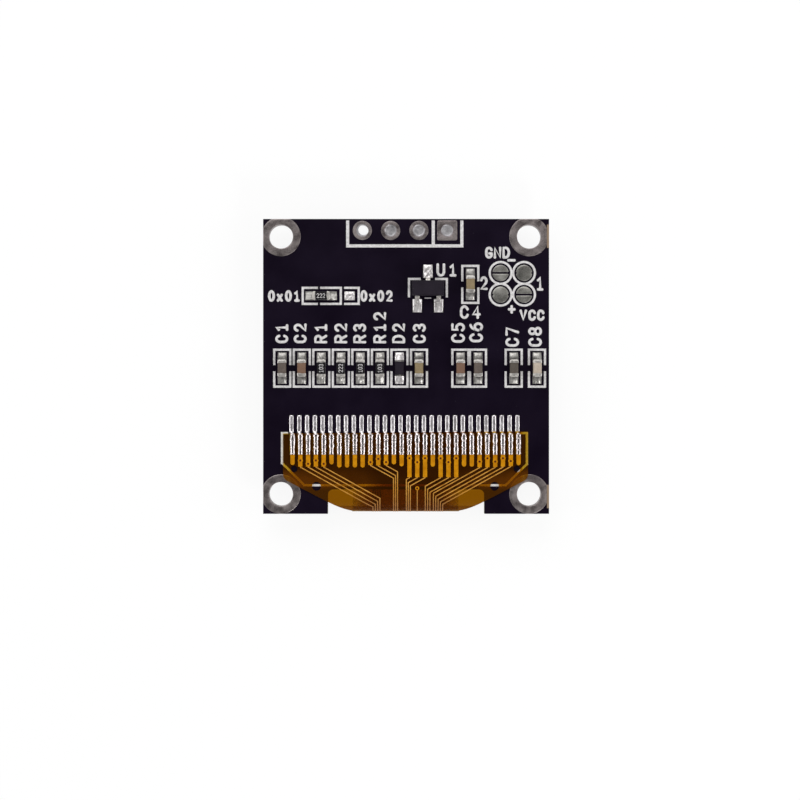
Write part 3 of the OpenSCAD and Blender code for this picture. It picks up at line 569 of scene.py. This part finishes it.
# Labels that read upwards: words, x, y. Level labels: words, x, y, height, step, slimness.
ROW_LABELS = [
    ("C1", -10.70, 2.18), ("C2", -9.05, 2.18), ("R1", -7.20, 2.18), ("R2", -5.40, 2.18),
    ("R3", -3.70, 2.18), ("R12", -1.90, 2.18), ("D2", -0.20, 2.18), ("C3", 1.66, 2.18)]
RIGHT_LABELS = [("C5", 5.18, 2.22), ("C6", 6.80, 2.26), ("C7", 10.05, 1.86), ("C8", 12.10, 1.86)]
LEVEL_LABELS = [
    ("U1", 2.84, 8.18, 0.97, 1.08, 0.85), ("C4", 4.93, 4.38, 1.0, 1.08, 0.85),
    ("2", 6.74, 6.97, 1.02, 1.0, 0.7), ("1", 11.78, 6.92, 1.05, 1.0, 0.7),
    ("GND", 7.2, 9.8, 0.85, 0.78, 0.82), ("VCC", 10.3, 4.2, 0.8, 0.78, 0.85),
    ("+", 9.25, 4.85, 0.8, 1.0, 0.85), ("-", 9.2, 9.22, 0.9, 1.0, 0.85),
    ("0x01", -12.3, 5.92, 0.82, 0.76, 0.72), ("0x02", -4.0, 5.92, 0.82, 0.76, 0.72)]
letters = []
for labels, height, advance in ((ROW_LABELS, 0.95, 1.02), (RIGHT_LABELS, 1.02, 1.0)):
    for words, x, y in labels:
        letters += lettering(words, (x, y), height, advance, turned=True)
for words, x, y, height, advance, slim in LEVEL_LABELS:
    letters += lettering(words, (x, y), height, advance, slim=slim)
make_piece("legend_letters", letters, legend_ink)


# ---- Solder ----
# Tin solder printed as paste on the lands and melted in an oven. It climbs the metal ends of
# the parts in hollow slopes and sets bright, with rounded edges and small lumps.

def middle(node):
    """Middle of a CAD node's box, in millimetres."""
    low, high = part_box(node)
    return np.array(low + high) / 2 / MM


solder = tin_finish(
    "solder", (0.19, 0.18, 0.168), (0.54, 0.525, 0.50), rough=(0.34, 0.5), patch=0.4, pit=0.14,
    relief=0.001)
# A lighter, less metallic copy of the solder for the pools and the spare land: painted highlight.
bright_solder = tin_finish(
    "bright_solder", (0.46, 0.43, 0.43), (0.88, 0.85, 0.85), rough=(0.24, 0.38), patch=0.4,
    pit=0.2, relief=0.0006, metallic=0.62)
for node in ("component_lands", "flex_lands"):
    dress(node, solder)

LAND_TOP = heights("component_lands")[1]
PART_LOW = heights("capacitor_1_ends")[0]
LAND_END = 1.41
SLOPE_W, SLOPE_TAPER, SLOPE_TOE = 0.86, 0.17, 0.13
draws = np.random.default_rng(7)


def lumps(x, y, size, seed):
    """Slow uneven swell between -1 and 1: three crossing waves about size millimetres long."""
    swell = 0
    for k, turn in enumerate(2 * np.pi * np.array([0.13, 0.47, 0.71]) + seed):
        along = x * np.cos(turn) + y * np.sin(turn)
        swell = swell + np.sin(2 * np.pi / size * along * (1 + k * 0.6) + seed * (k + 3))
    return swell / 3


def solder_slope(at, turn, width, start, end, rise, toe, seed, lumpy):
    """Solder on one land. v runs from 0 at the part's face to 1 at the land's end and u from -1
    to 1 across, and the width narrows with v^3. The height is toe + (rise - toe)(1 - v)^2.2,
    rounded down to nothing at the sides and the end by the roots of 1 - |u|^2.8 and 1 - v^4,
    and swollen a little by lumps."""
    u = np.sin(np.linspace(-np.pi / 2, np.pi / 2, 21))
    near_end = 0.7 + 0.3 * np.sin(np.linspace(0, np.pi / 2, 9))
    v = np.concatenate([np.linspace(0, 0.7, 10)[:-1], near_end])
    v, u = np.meshgrid(v, u, indexing="ij")
    across = u * width / 2 * (1 - SLOPE_TAPER * v ** 3)
    out = start + v * (end - start)
    full = toe + (rise - toe) * (1 - v) ** 2.2
    edge = np.sqrt(np.clip(1 - np.abs(u) ** 2.8, 0, 1)) * np.sqrt(np.clip(1 - v ** 4, 0, 1))
    swell = 1 + lumpy * lumps(across * 1.3, out * 0.6, 0.75, seed)
    height = full * edge * swell
    cosine, sine = np.cos(turn), np.sin(turn)
    top = np.stack([
        at[0] + across * cosine - out * sine, at[1] + across * sine + out * cosine,
        LAND_TOP + height], axis=-1)
    below = top.copy()
    below[..., 2] = LAND_TOP
    rows, columns = u.shape
    number = np.arange(u.size).reshape(u.shape)
    faces = grid_faces(rows, columns)
    border = np.concatenate([number[0], number[1:, -1], number[-1, -2::-1], number[-2:0:-1, 0]])
    following = np.roll(border, -1)
    wall = np.stack([border, following, following + u.size, border + u.size], axis=-1)
    points = np.concatenate([top.reshape(-1, 3), below.reshape(-1, 3)])
    return points, np.concatenate([faces, faces[:, ::-1] + u.size, wall])


CAPACITORS = [f"capacitor_{k}" for k in range(1, 9)]
RESISTORS = [f"resistor_{k}" for k in range(1, 6)]
CHIP_HALF = 0.8
UNDER_END = 0.03
slopes = []
for part in CAPACITORS + RESISTORS:
    climb_share, lumpy = (0.72, 0.1) if part in CAPACITORS else (0.9, 0.25)
    low, high = corners(part + "_ends")
    lying = high[0] - low[0] > high[1] - low[1]
    climb = (high[2] - low[2]) * climb_share + PART_LOW - LAND_TOP
    for side in (0, 1):
        turn = np.pi * side + (np.pi / 2 if lying else 0)
        slopes.append(solder_slope(
            middle(part + "_ends"), turn, SLOPE_W, CHIP_HALF - UNDER_END, LAND_END, climb,
            SLOPE_TOE, draws.uniform(0, 6), lumpy))
make_piece("solder_slopes", slopes, solder, ["solder_fillets"], smooth_angle=60)

LEAD_W = 0.4
SPARE_STEP, SPARE_HALF_W, SPARE_HALF_H, SPARE_RISE = 2.55, 0.46, 0.39, 0.1
pools = [solder_slope(
    middle("diode_body"), turn, width=0.84, start=0.72, end=LAND_END, rise=0.18, toe=0.1,
    seed=draws.uniform(0, 6), lumpy=0.4) for turn in (0, np.pi)]
leads_low, leads_high = corners("regulator_leads")
lead_step = (leads_high[0] - leads_low[0] - LEAD_W) / 2
tip = (leads_high[1] - leads_low[1]) / 2
for across, turn in ((0, 0), (-lead_step, np.pi), (lead_step, np.pi)):
    pools.append(solder_slope(
        middle("regulator_body") + np.array([across, 0, 0]), turn, width=0.88, start=tip - 0.35,
        end=tip + 0.82, rise=0.21, toe=0.14, seed=draws.uniform(0, 6), lumpy=0.35))

# Solder on the one land that carries no part: a square pillow, uneven by lumps.
spare_at = middle("resistor_5_ends") + np.array([SPARE_STEP, 0, 0])
pillow = power_curve(ROUND, SPARE_HALF_W, SPARE_HALF_H, 7)
points, faces = cushion_of_tin(spare_at[:2], pillow, LAND_TOP, SPARE_RISE, roundness=4)
swell = 1 + 0.4 * lumps(points[:, 0], points[:, 1], 0.5, 2.0)
points[:, 2] = LAND_TOP + (points[:, 2] - LAND_TOP) * swell
pools.append((points, faces))
make_piece("solder_pools", pools, bright_solder, ["solder_fillets"], smooth_angle=60)


# ---- Chip capacitors and chip resistors ----
# A capacitor is a fired block of ceramic layers; a resistor is a white ceramic slip with a
# black glaze on top. Both have their ends dipped in silver and plated with tin.

def block(centre, half, cut_from=-1.0, wobble=0.0, seed=0.0):
    """Block with soft edges, long in y. Its section is a power curve of 9, and towards both ends
    it closes by the fourth root of 1 - |v|^18. cut_from leaves only the part past v = cut_from,
    whose edge wanders by wobble round the section."""
    ring = np.linspace(0, 2 * np.pi, 64, endpoint=False)
    section = power_curve(ring, 1, 1, 9)
    v = np.sin(np.linspace(-np.pi / 2, np.pi / 2, 25))[:, None]
    if cut_from > -1:
        edge = cut_from + wobble * (np.sin(2 * ring + seed) + 0.6 * np.sin(5 * ring + 2 * seed))
        stretch = np.concatenate([np.zeros(2), np.sin(np.linspace(0, np.pi / 2, 16))])[:, None]
        v = edge + (1 - edge) * stretch
    size = np.clip(1 - np.abs(v) ** 18, 0, 1) ** (1 / 4)
    if cut_from > -1:
        size[0] *= 0
    across = section * size * half[0] * np.cos(ring)
    up = section * size * half[2] * np.sin(ring)
    points = np.stack(np.broadcast_arrays(
        centre[0] + across, centre[1] + half[1] * v, centre[2] + up), axis=-1)
    return points.reshape(-1, 3), grid_faces(len(size), len(ring), False, True)


def turned_about(part, centre, quarter):
    """The same surface turned a quarter left about a point, once for each quarter."""
    points, faces = part
    for _ in range(quarter):
        shift = points - centre
        points = np.stack([-shift[:, 1], shift[:, 0], shift[:, 2]], axis=1) + centre
    return points, faces


def ceramic(name, dark, light):
    """Fired ceramic between two shades, with fine grain and soft clouds."""
    material, tree, ports = new_material(name, Specular_IOR_Level=0.35)
    grain = mottled(tree, 0.07, 2.0, 4.0)
    cloud = mottled(tree, 0.5)
    paint(tree, ports, blend_colours(tree, mean(tree, grain, cloud), dark, light),
          spread(tree, grain, 0.45, 0.7), bump(tree, grain, depth_mm=0.006))
    return material


ceramics = {
    "grey": ceramic("ceramic_grey", (0.055, 0.042, 0.036), (0.145, 0.112, 0.094)),
    "orange": ceramic("ceramic_orange", (0.11, 0.058, 0.034), (0.22, 0.125, 0.082)),
    "tan": ceramic("ceramic_tan", (0.145, 0.105, 0.050), (0.31, 0.235, 0.130)),
    "olive": ceramic("ceramic_olive", (0.042, 0.033, 0.027), (0.115, 0.095, 0.078)),
    "beige": ceramic("ceramic_beige", (0.32, 0.26, 0.20), (0.58, 0.50, 0.42))}
CAPACITOR_COLOURS = ["grey", "orange", "tan", "orange", "grey", "olive", "beige", "tan"]

chip_tin = tin_finish(
    "chip_tin", (0.36, 0.34, 0.32), (0.74, 0.71, 0.67), rough=(0.3, 0.48), patch=0.3, pit=0.05,
    relief=0.006, metallic=0.72)

GLAZE_DARK, GLAZE_LIGHT = (0.004, 0.003, 0.005), (0.014, 0.012, 0.014)
SLIP_DARK, SLIP_LIGHT = (0.55, 0.54, 0.52), (0.75, 0.74, 0.72)
GLAZE_FROM = heights("resistor_1_body")[0] + 0.3

resistor_glaze, tree, ports = new_material("resistor_glaze", Specular_IOR_Level=0.15)
glazed = math(tree, "GREATER_THAN", place_on(tree)["Z"], GLAZE_FROM * MM)
speckle = mottled(tree, 0.08, 2.0)
glaze = blend_colours(tree, speckle, GLAZE_DARK, GLAZE_LIGHT)
slip = blend_colours(tree, speckle, SLIP_DARK, SLIP_LIGHT)
paint(tree, ports, blend_colours(tree, glazed, slip, glaze), spread(tree, speckle, 0.3, 0.5),
      bump(tree, speckle, depth_mm=0.004))

CAPACITOR_END, RESISTOR_END = 0.33, 0.28
END_COAT = 0.025
CODES = dict(zip(RESISTORS, ("103", "222", "103", "103", "222")))
codes = []
for k, part in enumerate(CAPACITORS + RESISTORS):
    is_capacitor = part in CAPACITORS
    low, high = corners(part + "_ends")
    centre, half = (low + high) / 2, (high - low) / 2
    lying = half[0] > half[1]
    upright_half = half[[1, 0, 2]] if lying else half
    quarter = 1 if lying else 0
    end_share = 1 - (CAPACITOR_END if is_capacitor else RESISTOR_END) / CHIP_HALF
    body = turned_about(block(centre, upright_half - END_COAT), centre, quarter)
    ends = []
    for turn in (0, 2):
        end = block(centre, upright_half, cut_from=end_share, wobble=0.02, seed=k + turn)
        ends.append(turned_about(end, centre, quarter + turn))
    material = ceramics[CAPACITOR_COLOURS[k]] if is_capacitor else resistor_glaze
    make_piece(part + "_block", [body], material, [part + "_body"])
    make_piece(part + "_tinned_ends", ends, chip_tin, [part + "_ends"])
    if not is_capacitor:
        start = centre[:2] + ((-0.38, -0.18) if lying else (0.18, -0.38))
        codes += lettering(
            CODES[part], start, height=0.36, advance=0.27, turned=not lying, pen=0.05,
            base=high[2] - END_COAT - 0.001, ink_t=0.008, slim=0.75)
make_piece("resistor_codes", codes, legend_ink)


# ---- Diode and voltage regulator ----
# Black epoxy moulded round the chip and its leads, matt from the mould, with sloping sides.
# The leads are stamped strip, bent and tinned.

def softened(node, name, material, edge_mm, smooth_angle=40.0):
    """Copy of a CAD node with its points merged, flat faces joined and sharp edges rounded."""
    mesh = cad_nodes[node].data.copy()
    mesh.materials.clear()
    work = bmesh.new()
    work.from_mesh(mesh)
    bmesh.ops.remove_doubles(work, verts=work.verts, dist=5e-4 * MM)
    bmesh.ops.dissolve_limit(work, angle_limit=np.radians(0.5), verts=work.verts, edges=work.edges)
    work.to_mesh(mesh)
    work.free()
    piece = finish_piece(name, mesh, material, [node], smooth_angle)
    if edge_mm:
        rounded = piece.modifiers.new("rounded", "BEVEL")
        rounded.width = edge_mm * MM
        rounded.segments = 2
        rounded.limit_method = "ANGLE"
        rounded.angle_limit = np.radians(35)
    evened = piece.modifiers.new("evened", "WEIGHTED_NORMAL")
    evened.keep_sharp = True
    return piece


EPOXY_DARK, EPOXY_LIGHT, LINT = (0.007, 0.005, 0.009), (0.020, 0.015, 0.024), (0.2, 0.19, 0.2)

moulding, tree, ports = new_material("moulding_compound", Specular_IOR_Level=0.12)
sand = mottled(tree, 0.05, 2.4, 4.0)
bloom = mottled(tree, 0.8, 1.6)
lint = specked(tree, 0.3, 0.15, 0.1)
epoxy = blend_colours(tree, mean(tree, sand, bloom), EPOXY_DARK, EPOXY_LIGHT)
epoxy = blend_colours(tree, math(tree, "MULTIPLY", lint, 0.2), epoxy, LINT)
paint(tree, ports, epoxy, spread(tree, sand, 0.5, 0.72), bump(tree, sand, depth_mm=0.008))
softened("regulator_body", "regulator_moulding", moulding, 0.04)
softened("diode_body", "diode_moulding", moulding, 0.03)
softened("regulator_leads", "regulator_lead_strips", chip_tin, 0.02)
softened("diode_leads", "diode_lead_strips", chip_tin, 0.02)


# ---- Display: polarizing film, two sheets of glass and the layers between them ----
# Two sheets of cut glass are glued together round the light-emitting layers. The front one is
# longer and carries the driver chip on its bare ledge. The film on the front makes it black.

GLASS_DARK, GLASS_LIGHT = (0.80, 0.88, 0.86), (0.90, 0.95, 0.94)

glass, tree, ports = new_material(
    "display_glass", Transmission_Weight=1.0, Roughness=0.03, IOR=1.5, Metallic=0.0)
smear = mottled(tree, 4.0, 1.4)
feed(tree, ports["Base Color"], blend_colours(tree, smear, GLASS_DARK, GLASS_LIGHT))
feed(tree, ports["Normal"], bump(tree, smear, depth_mm=0.002))
softened("front_glass", "front_glass_sheet", glass, 0.06)
softened("rear_glass", "rear_glass_sheet", glass, 0.05)


def plain_finish(name, dark, light, size, rough, relief, **plain):
    """Finish with patches of two shades of a colour. size is that of the patches and relief
    their depth, in millimetres; rough is the lowest and highest roughness."""
    material, tree, ports = new_material(name, **plain)
    patches = mottled(tree, size, 1.9, 4.0)
    paint(tree, ports, blend_colours(tree, patches, dark, light),
          spread(tree, patches, *rough), bump(tree, patches, relief))
    return material


softened("polarizer", "polarizing_film", plain_finish(
    "polarizing_film", (0.004, 0.005, 0.007), (0.008, 0.009, 0.012), 2.0, (0.06, 0.12), 0.001,
    Specular_IOR_Level=0.32), 0.03)
dress("oled_layer", plain_finish(
    "display_layers", (0.016, 0.020, 0.030), (0.034, 0.040, 0.055), 0.3, (0.2, 0.35), 0.001))
dress("edge_seal", plain_finish(
    "seal_resin", (0.42, 0.33, 0.14), (0.62, 0.52, 0.28), 0.5, (0.3, 0.5), 0.004))
dress("desiccant", plain_finish(
    "desiccant_sheet", (0.58, 0.55, 0.48), (0.78, 0.75, 0.68), 0.25, (0.7, 0.9), 0.01))
softened("driver_chip", "driver_chip_die", plain_finish(
    "silicon", (0.05, 0.05, 0.065), (0.12, 0.12, 0.145), 0.4, (0.15, 0.3), 0.001, Metallic=0.4),
    0.01)
softened("foam_tape", "foam_tape_strip", plain_finish(
    "foam_tape", (0.006, 0.006, 0.006), (0.035, 0.034, 0.036), 0.14, (0.8, 0.95), 0.05),
    0.05)
dress("flex_bond", plain_finish(
    "bond_film", (0.30, 0.27, 0.16), (0.45, 0.42, 0.27), 0.1, (0.4, 0.6), 0.003))


# ---- Flex tail ----
# Amber polyimide film with copper strips, soldered to the board's edge and folded through the
# notch to the glass. The film lets through what lies behind it, tinted amber.

# The fold's tint is darker than the rest of the film: painted shade.
FILM_TINT, BORDER_TINT, FOLD_SHADE_TINT = (0.924, 0.726, 0.20), (1.0, 0.90, 0.46), (0.49, 0.30, 0.02)
MIDDLE_TINT, LOWER_TINT = (0.60, 0.33, 0.06), (0.95, 0.93, 0.86)
AMBER_DARK, AMBER_LIGHT = (0.25, 0.072, 0.003), (0.44, 0.135, 0.008)
BRONZE_DARK, BRONZE_LIGHT = (0.27, 0.088, 0.004), (0.34, 0.13, 0.02)
FILM_SKEW = 0.2
MIDDLE_X = 1.6


def fade(tree, place, from_mm, to_mm, low=0.0, high=1.0):
    """Value that goes from low to high between two places along an axis."""
    return spread(tree, place, low, high, from_mm * MM, to_mm * MM)


def shader_and_surface(tree):
    """Output of a material's Principled shader, and the socket that shows it."""
    kinds = {node.type: node for node in tree.nodes}
    return kinds["BSDF_PRINCIPLED"].outputs["BSDF"], kinds["OUTPUT_MATERIAL"].inputs["Surface"]


def mix_shaders(tree, share, first, second):
    """Shader that goes from the first to the second as share goes from 0 to 1."""
    return add(tree, "ShaderNodeMixShader", {"Fac": share, 1: first, 2: second}).outputs[0]


polyimide, tree, ports = new_material(
    "polyimide", Specular_IOR_Level=0.3, Coat_Weight=0.2, Coat_Roughness=0.12)
streaks = mottled(tree, 1.6)
place = place_on(tree)
sideways = math(tree, "ABSOLUTE", place["X"])
in_fold = fade(tree, place["Y"], -11.15, -10.75, 1, 0)
in_bend = fade(tree, place["Y"], -13.1, -12.0, 1, 0)
amber = blend_colours(tree, streaks, AMBER_DARK, AMBER_LIGHT)
bronze = blend_colours(tree, in_bend, BRONZE_DARK, BRONZE_LIGHT)
paint(tree, ports, blend_colours(tree, in_fold, amber, bronze), spread(tree, streaks, 0.2, 0.34),
      bump(tree, streaks, depth_mm=0.01))

# What lies behind shows through, tinted by where it is: at the bare border, over the middle of
# the glass, in the fold, where the darker tint is painted shade, and on the lower run. Cover is
# how much of the film itself is seen.
at_border = fade(tree, sideways, 10.3, 10.5)
off_middle = math(tree, "ABSOLUTE", math(tree, "SUBTRACT", place["X"], MIDDLE_X * MM))
in_middle = fade(tree, off_middle, 3.2, 5.2, 1, 0)
lower_layer = fade(tree, place["Z"], BOARD_LOW - 0.4, BOARD_LOW + 0.4, 1, 0)
lower_side = math(tree, "MULTIPLY", lower_layer, fade(tree, sideways, 3.4, 4.8))
tint = blend_colours(tree, at_border, FILM_TINT, BORDER_TINT)
tint = blend_colours(tree, in_middle, tint, MIDDLE_TINT)
tint = blend_colours(tree, in_fold, tint, FOLD_SHADE_TINT)
tint = blend_colours(tree, lower_side, tint, LOWER_TINT)
clear = add(tree, "ShaderNodeBsdfTransparent", {"Color": tint}).outputs[0]
glance = add(tree, "ShaderNodeFresnel", {"IOR": 1.6}).outputs[0]
by_beads = fade(tree, place["Y"], -10.1, -9.2)
amber_share = math(tree, "ADD", fade(tree, sideways, 2.5, 7.0, 0.04, 0.125),
                   fade(tree, sideways, 8.8, 10.4, 0, 0.1))
least = spread(tree, by_beads, amber_share, 0.03)
cover = math(tree, "ADD", math(tree, "MULTIPLY", glance, 0.5), least, clamp=True)
body, surface = shader_and_surface(tree)
tree.links.new(mix_shaders(tree, cover, clear, body), surface)

# The film's top edge is cut askew: it climbs by the skew from its left end to its right end.
film = softened("flex_film", "flex_film_sheet", polyimide, 0, smooth_angle=50)
film_high = corners("flex_film")[1]
film_points = np.empty(3 * len(film.data.vertices))
film.data.vertices.foreach_get("co", film_points)
film_x, film_y = film_points[0::3], film_points[1::3]
at_top = film_y > (film_high[1] - 0.01) * MM
film_y += at_top * FILM_SKEW * MM * (film_x / (film_high[0] * MM) + 1) / 2
film.data.vertices.foreach_set("co", film_points)
film.data.update()

SHADED_COPPER = (0.26, 0.11, 0.045)


def copper_under_film(name, dark, light):
    """Copper as the film lets it look, in patches of two shades, darker towards the bend."""
    material, tree, ports = new_material(name, Metallic=0.3, Specular_IOR_Level=0.15)
    patches = mottled(tree, 0.5, 1.8)
    shaded = fade(tree, place_on(tree)["Y"], -12.6, -11.2, 0.75, 0)
    lit = blend_colours(tree, patches, dark, light)
    paint(tree, ports, blend_colours(tree, shaded, lit, SHADED_COPPER),
          spread(tree, patches, 0.3, 0.45), bump(tree, patches, depth_mm=0.004))
    return material


contact_copper = copper_under_film("finger_copper", (0.50, 0.18, 0.002), (0.72, 0.31, 0.004))
track_copper = copper_under_film("trace_copper", (0.46, 0.19, 0.022), (0.74, 0.38, 0.075))
softened("flex_fingers", "flex_contact_strips", contact_copper, 0)
softened("flex_traces", "flex_conductors", track_copper, 0, smooth_angle=30)

COUNT = 30
WIDE = 0.38
STEP_BEFORE, STEP_RUN = 0.2, 0.3
HEAD_RUN, TAIL_RUN = 0.14, 0.04
KNOT_SHARE, KNOT_BELOW, KNOT_RUN = 0.13, 0.45, 0.35
BEAD_T, BEAD_EXTRA = 0.04, 0.04
lands_low, lands_high = corners("flex_lands")
fingers_low, fingers_high = corners("flex_fingers")
bead_low, bead_high = corners("flex_solder")
land_xs = np.linspace(lands_low[0] + WIDE / 2, lands_high[0] - WIDE / 2, COUNT)
finger_xs = np.linspace(fingers_low[0] + WIDE / 2, fingers_high[0] - WIDE / 2, COUNT)
film_end = fingers_high[1]
COPPER_TOP = fingers_high[2]


def solder_bead(land_x, finger_x, seed, domed):
    """Solder run along a contact. s goes from the land's free end down to the tinned end of
    the contact. Its middle and its foot go from the land to the contact at the film's edge by
    the smooth step 3t^2 - 2t^3, and both ends close in a quarter circle. Its section goes from
    the root of 1 - |u|^3 to 1 - |u|^2.3 by the larger of domed and that step. Its half width
    swells with lumps, most of all in the knot just inside the film's edge."""
    def swell(size, shift):
        """Lumps of a size along the bead."""
        return lumps(0 * y, y, size, seed + shift)

    s = np.linspace(0, 1, 91)
    y = bead_high[1] + (bead_low[1] - bead_high[1]) * s
    step = np.clip((film_end + STEP_BEFORE - y) / STEP_RUN, 0, 1)
    step = step * step * (3 - 2 * step)
    x = land_x + (finger_x - land_x) * step
    foot = LAND_TOP + (COPPER_TOP - LAND_TOP) * step
    to_top, to_low = (bead_high[1] - y) / HEAD_RUN, (y - bead_low[1]) / TAIL_RUN
    close = np.sqrt(1 - (1 - np.clip(np.minimum(to_top, to_low), 0, 1)) ** 2)
    ragged = 0.05 * swell(0.7, 0) + (0.05 + 0.08 * step) * swell(0.26, 1)
    knot = KNOT_SHARE * np.exp(-((y - film_end + KNOT_BELOW) / KNOT_RUN) ** 2)
    ragged = ragged + knot * (0.6 + swell(0.2, 3))
    waist = 1 + ragged - 0.2 * np.exp(-((y - film_end - 0.05) / 0.1) ** 2)
    half = WIDE / 2 * (0.9 + 0.1 * step) * close * waist
    crest = (BEAD_T + BEAD_EXTRA * step) * (1 + 0.25 * swell(0.5, 2)) * close
    u = np.linspace(-1, 1, 13)
    flat, arched = np.sqrt(1 - np.abs(u) ** 3), 1 - np.abs(u) ** 2.3
    section = flat + (arched - flat) * np.maximum(step, domed)[:, None]
    points = np.stack([
        x[:, None] + half[:, None] * u, np.broadcast_to(y[:, None], section.shape),
        foot[:, None] + crest[:, None] * section], axis=-1)
    return points.reshape(-1, 3), grid_faces(len(s), len(u), False, True)


# On the land the bead is painted lighter than on the film, a painted highlight, and it is also
# duller.
FILM_BEAD_DARK, FILM_BEAD_LIGHT = (0.34, 0.30, 0.30), (0.74, 0.68, 0.68)
LIT_LAND_BEAD_DARK, LIT_LAND_BEAD_LIGHT = (0.56, 0.52, 0.54), (0.94, 0.90, 0.92)

bead_tin, tree, ports = new_material("bead_tin", Metallic=1.0)
skin = use(tree, tin_skin, {"Patch": 0.3, "Pit": 0.1})
on_land = fade(tree, place_on(tree)["Y"], film_end - 0.1, film_end + 0.2)
film_bead = blend_colours(tree, skin["Shade"], FILM_BEAD_DARK, FILM_BEAD_LIGHT)
lit_land_bead = blend_colours(tree, skin["Shade"], LIT_LAND_BEAD_DARK, LIT_LAND_BEAD_LIGHT)
dull_part = math(tree, "MULTIPLY", on_land, 0.12)
dullness = math(tree, "ADD", dull_part, spread(tree, skin["Dullness"], 0.16, 0.3))
paint(tree, ports, blend_colours(tree, on_land, film_bead, lit_land_bead), dullness,
      bump(tree, skin["Height"], depth_mm=0.001))
beads = [solder_bead(land_x, finger_x, draws.uniform(0, 6), draws.choice([0.4, 0.7, 1.0]))
         for land_x, finger_x in zip(land_xs, finger_xs)]
make_piece("flex_solder_beads", beads, bead_tin, ["flex_solder"], smooth_angle=60)

# Vias: small plated holes that take a contact to the copper on the film's other face. Each
# contact in the list has one, so many millimetres below its tinned end.
VIAS_BELOW = {
    1: 0.5, 2: 0.8, 3: 0.5, 4: 0.8, 10: 0.65, 11: 0.35, 12: 0.65, 15: 0.3, 16: 0.65, 17: 0.3,
    19: 0.3, 20: 0.65, 21: 0.3, 24: 0.6, 25: 0.3, 26: 0.6, 27: 0.3, 28: 0.55}
LONE_VIA = (1.0, -10.95)
WELL_R, WELL_SINK, WELL_T = 0.115, 0.01, 0.016
# Their dark red-brown is partly the film seen through the holes and partly painted shade in them.
SHADED_WELL_DARK, SHADED_WELL_LIGHT = (0.045, 0.005, 0.002), (0.10, 0.014, 0.003)
via_places = [(finger_xs[k], bead_low[1] - below) for k, below in VIAS_BELOW.items()] + [LONE_VIA]
wells = [cushion_of_tin(
    np.array(at), np.full(len(ROUND), WELL_R), COPPER_TOP - WELL_SINK, WELL_T, roundness=3)
    for at in via_places]
make_piece("flex_via_wells", wells, plain_finish(
    "via_wells", SHADED_WELL_DARK, SHADED_WELL_LIGHT, 0.08, (0.45, 0.65), 0.002, Specular_IOR_Level=0.1))


# ---- Stage: pale floor, studio, soft lights and the camera straight above ----
# A sheet of pale paper lies just below the glass, which rests at height 0. It shows near white
# and keeps the shadow, and from below it isn't there, so that the display can be seen.

REACH, SUNK = 0.6, -0.00002
PAPER_DARK, PAPER_LIGHT, PAPER_WHITE = (0.92, 0.92, 0.92), (0.95, 0.95, 0.95), 0.88
floor_mesh = bpy.data.meshes.new("floor")
floor_corners = [(x * REACH, y * REACH, SUNK) for x, y in ((-1, -1), (1, -1), (1, 1), (-1, 1))]
floor_mesh.from_pydata(floor_corners, [], [(0, 1, 2, 3)])
paper, tree, ports = new_material("floor_paper", Roughness=0.9, Specular_IOR_Level=0.0)
fibres = mottled(tree, 8.0, 0.5)
feed(tree, ports["Base Color"], blend_colours(tree, fibres, PAPER_DARK, PAPER_LIGHT))
path = add(tree, "ShaderNodeLightPath").outputs
reflected = math(tree, "MAXIMUM", path["Is Glossy Ray"], path["Is Transmission Ray"])
seen = math(tree, "MAXIMUM", path["Is Camera Ray"], reflected)
white = add(tree, "ShaderNodeEmission", {"Color": (1, 1, 1, 1), "Strength": 1.0}).outputs[0]
body, surface = shader_and_surface(tree)
sheet = mix_shaders(tree, math(tree, "MULTIPLY", seen, PAPER_WHITE), body, white)
from_below = add(tree, "ShaderNodeNewGeometry").outputs["Backfacing"]
gone = add(tree, "ShaderNodeBsdfTransparent").outputs[0]
tree.links.new(mix_shaders(tree, from_below, sheet, gone), surface)
floor_mesh.materials.append(paper)
new_object("floor", floor_mesh)

# The studio is bright round the horizon and dim overhead, and white where the camera sees it.
ZENITH, HORIZON = 0.15, 0.95
world = bpy.data.worlds.new("studio")
bpy.context.scene.world = world
world.use_nodes = True
tree = world.node_tree
background = next(n for n in tree.nodes if n.type == "BACKGROUND")
background.inputs["Color"].default_value = (1, 1, 1, 1)
towards = add(tree, "ShaderNodeSeparateXYZ", {
    "Vector": add(tree, "ShaderNodeTexCoord").outputs["Generated"]}).outputs
tall = spread(tree, towards["Z"], HORIZON, ZENITH, 0.6, 0.94)
side = spread(tree, towards["Y"], 0.6, 0.8, -0.5, 0.5)
seen = add(tree, "ShaderNodeLightPath").outputs["Is Camera Ray"]
sky = math(tree, "MULTIPLY", tall, side)
feed(tree, background.inputs["Strength"], math(tree, "MAXIMUM", seen, sky))


def soft_light(name, at, size, watts):
    """Square area light that faces the middle of the object."""
    light = bpy.data.lights.new(name, "AREA")
    light.size = size
    light.energy = watts
    lamp = new_object(name, light)
    lamp.location = at
    lamp.visible_camera = False
    lamp.rotation_euler = (-Vector(at)).to_track_quat("-Z", "Y").to_euler()


soft_light("key", (-0.06, 0.26, 0.29), 0.3, 0.76)
soft_light("left", (-0.28, -0.02, 0.18), 0.12, 0.2)
soft_light("right", (0.28, -0.02, 0.18), 0.12, 0.2)
soft_light("spark", (0.13, -0.22, 0.16), 0.07, 0.28)

camera_data = bpy.data.cameras.new("camera")
camera_data.lens = 90
camera_data.sensor_width = 36
VIEW_X, VIEW_Y, VIEW_W = -0.548, -3.02, 71.9
camera_height = BOARD_TOP + VIEW_W * camera_data.lens / camera_data.sensor_width
camera_data.clip_start, camera_data.clip_end = 0.01, 10
camera = new_object("camera", camera_data)
camera.location = np.array([VIEW_X, VIEW_Y, camera_height]) * MM
bpy.context.scene.camera = camera
bpy.context.scene.view_settings.view_transform = "Standard"
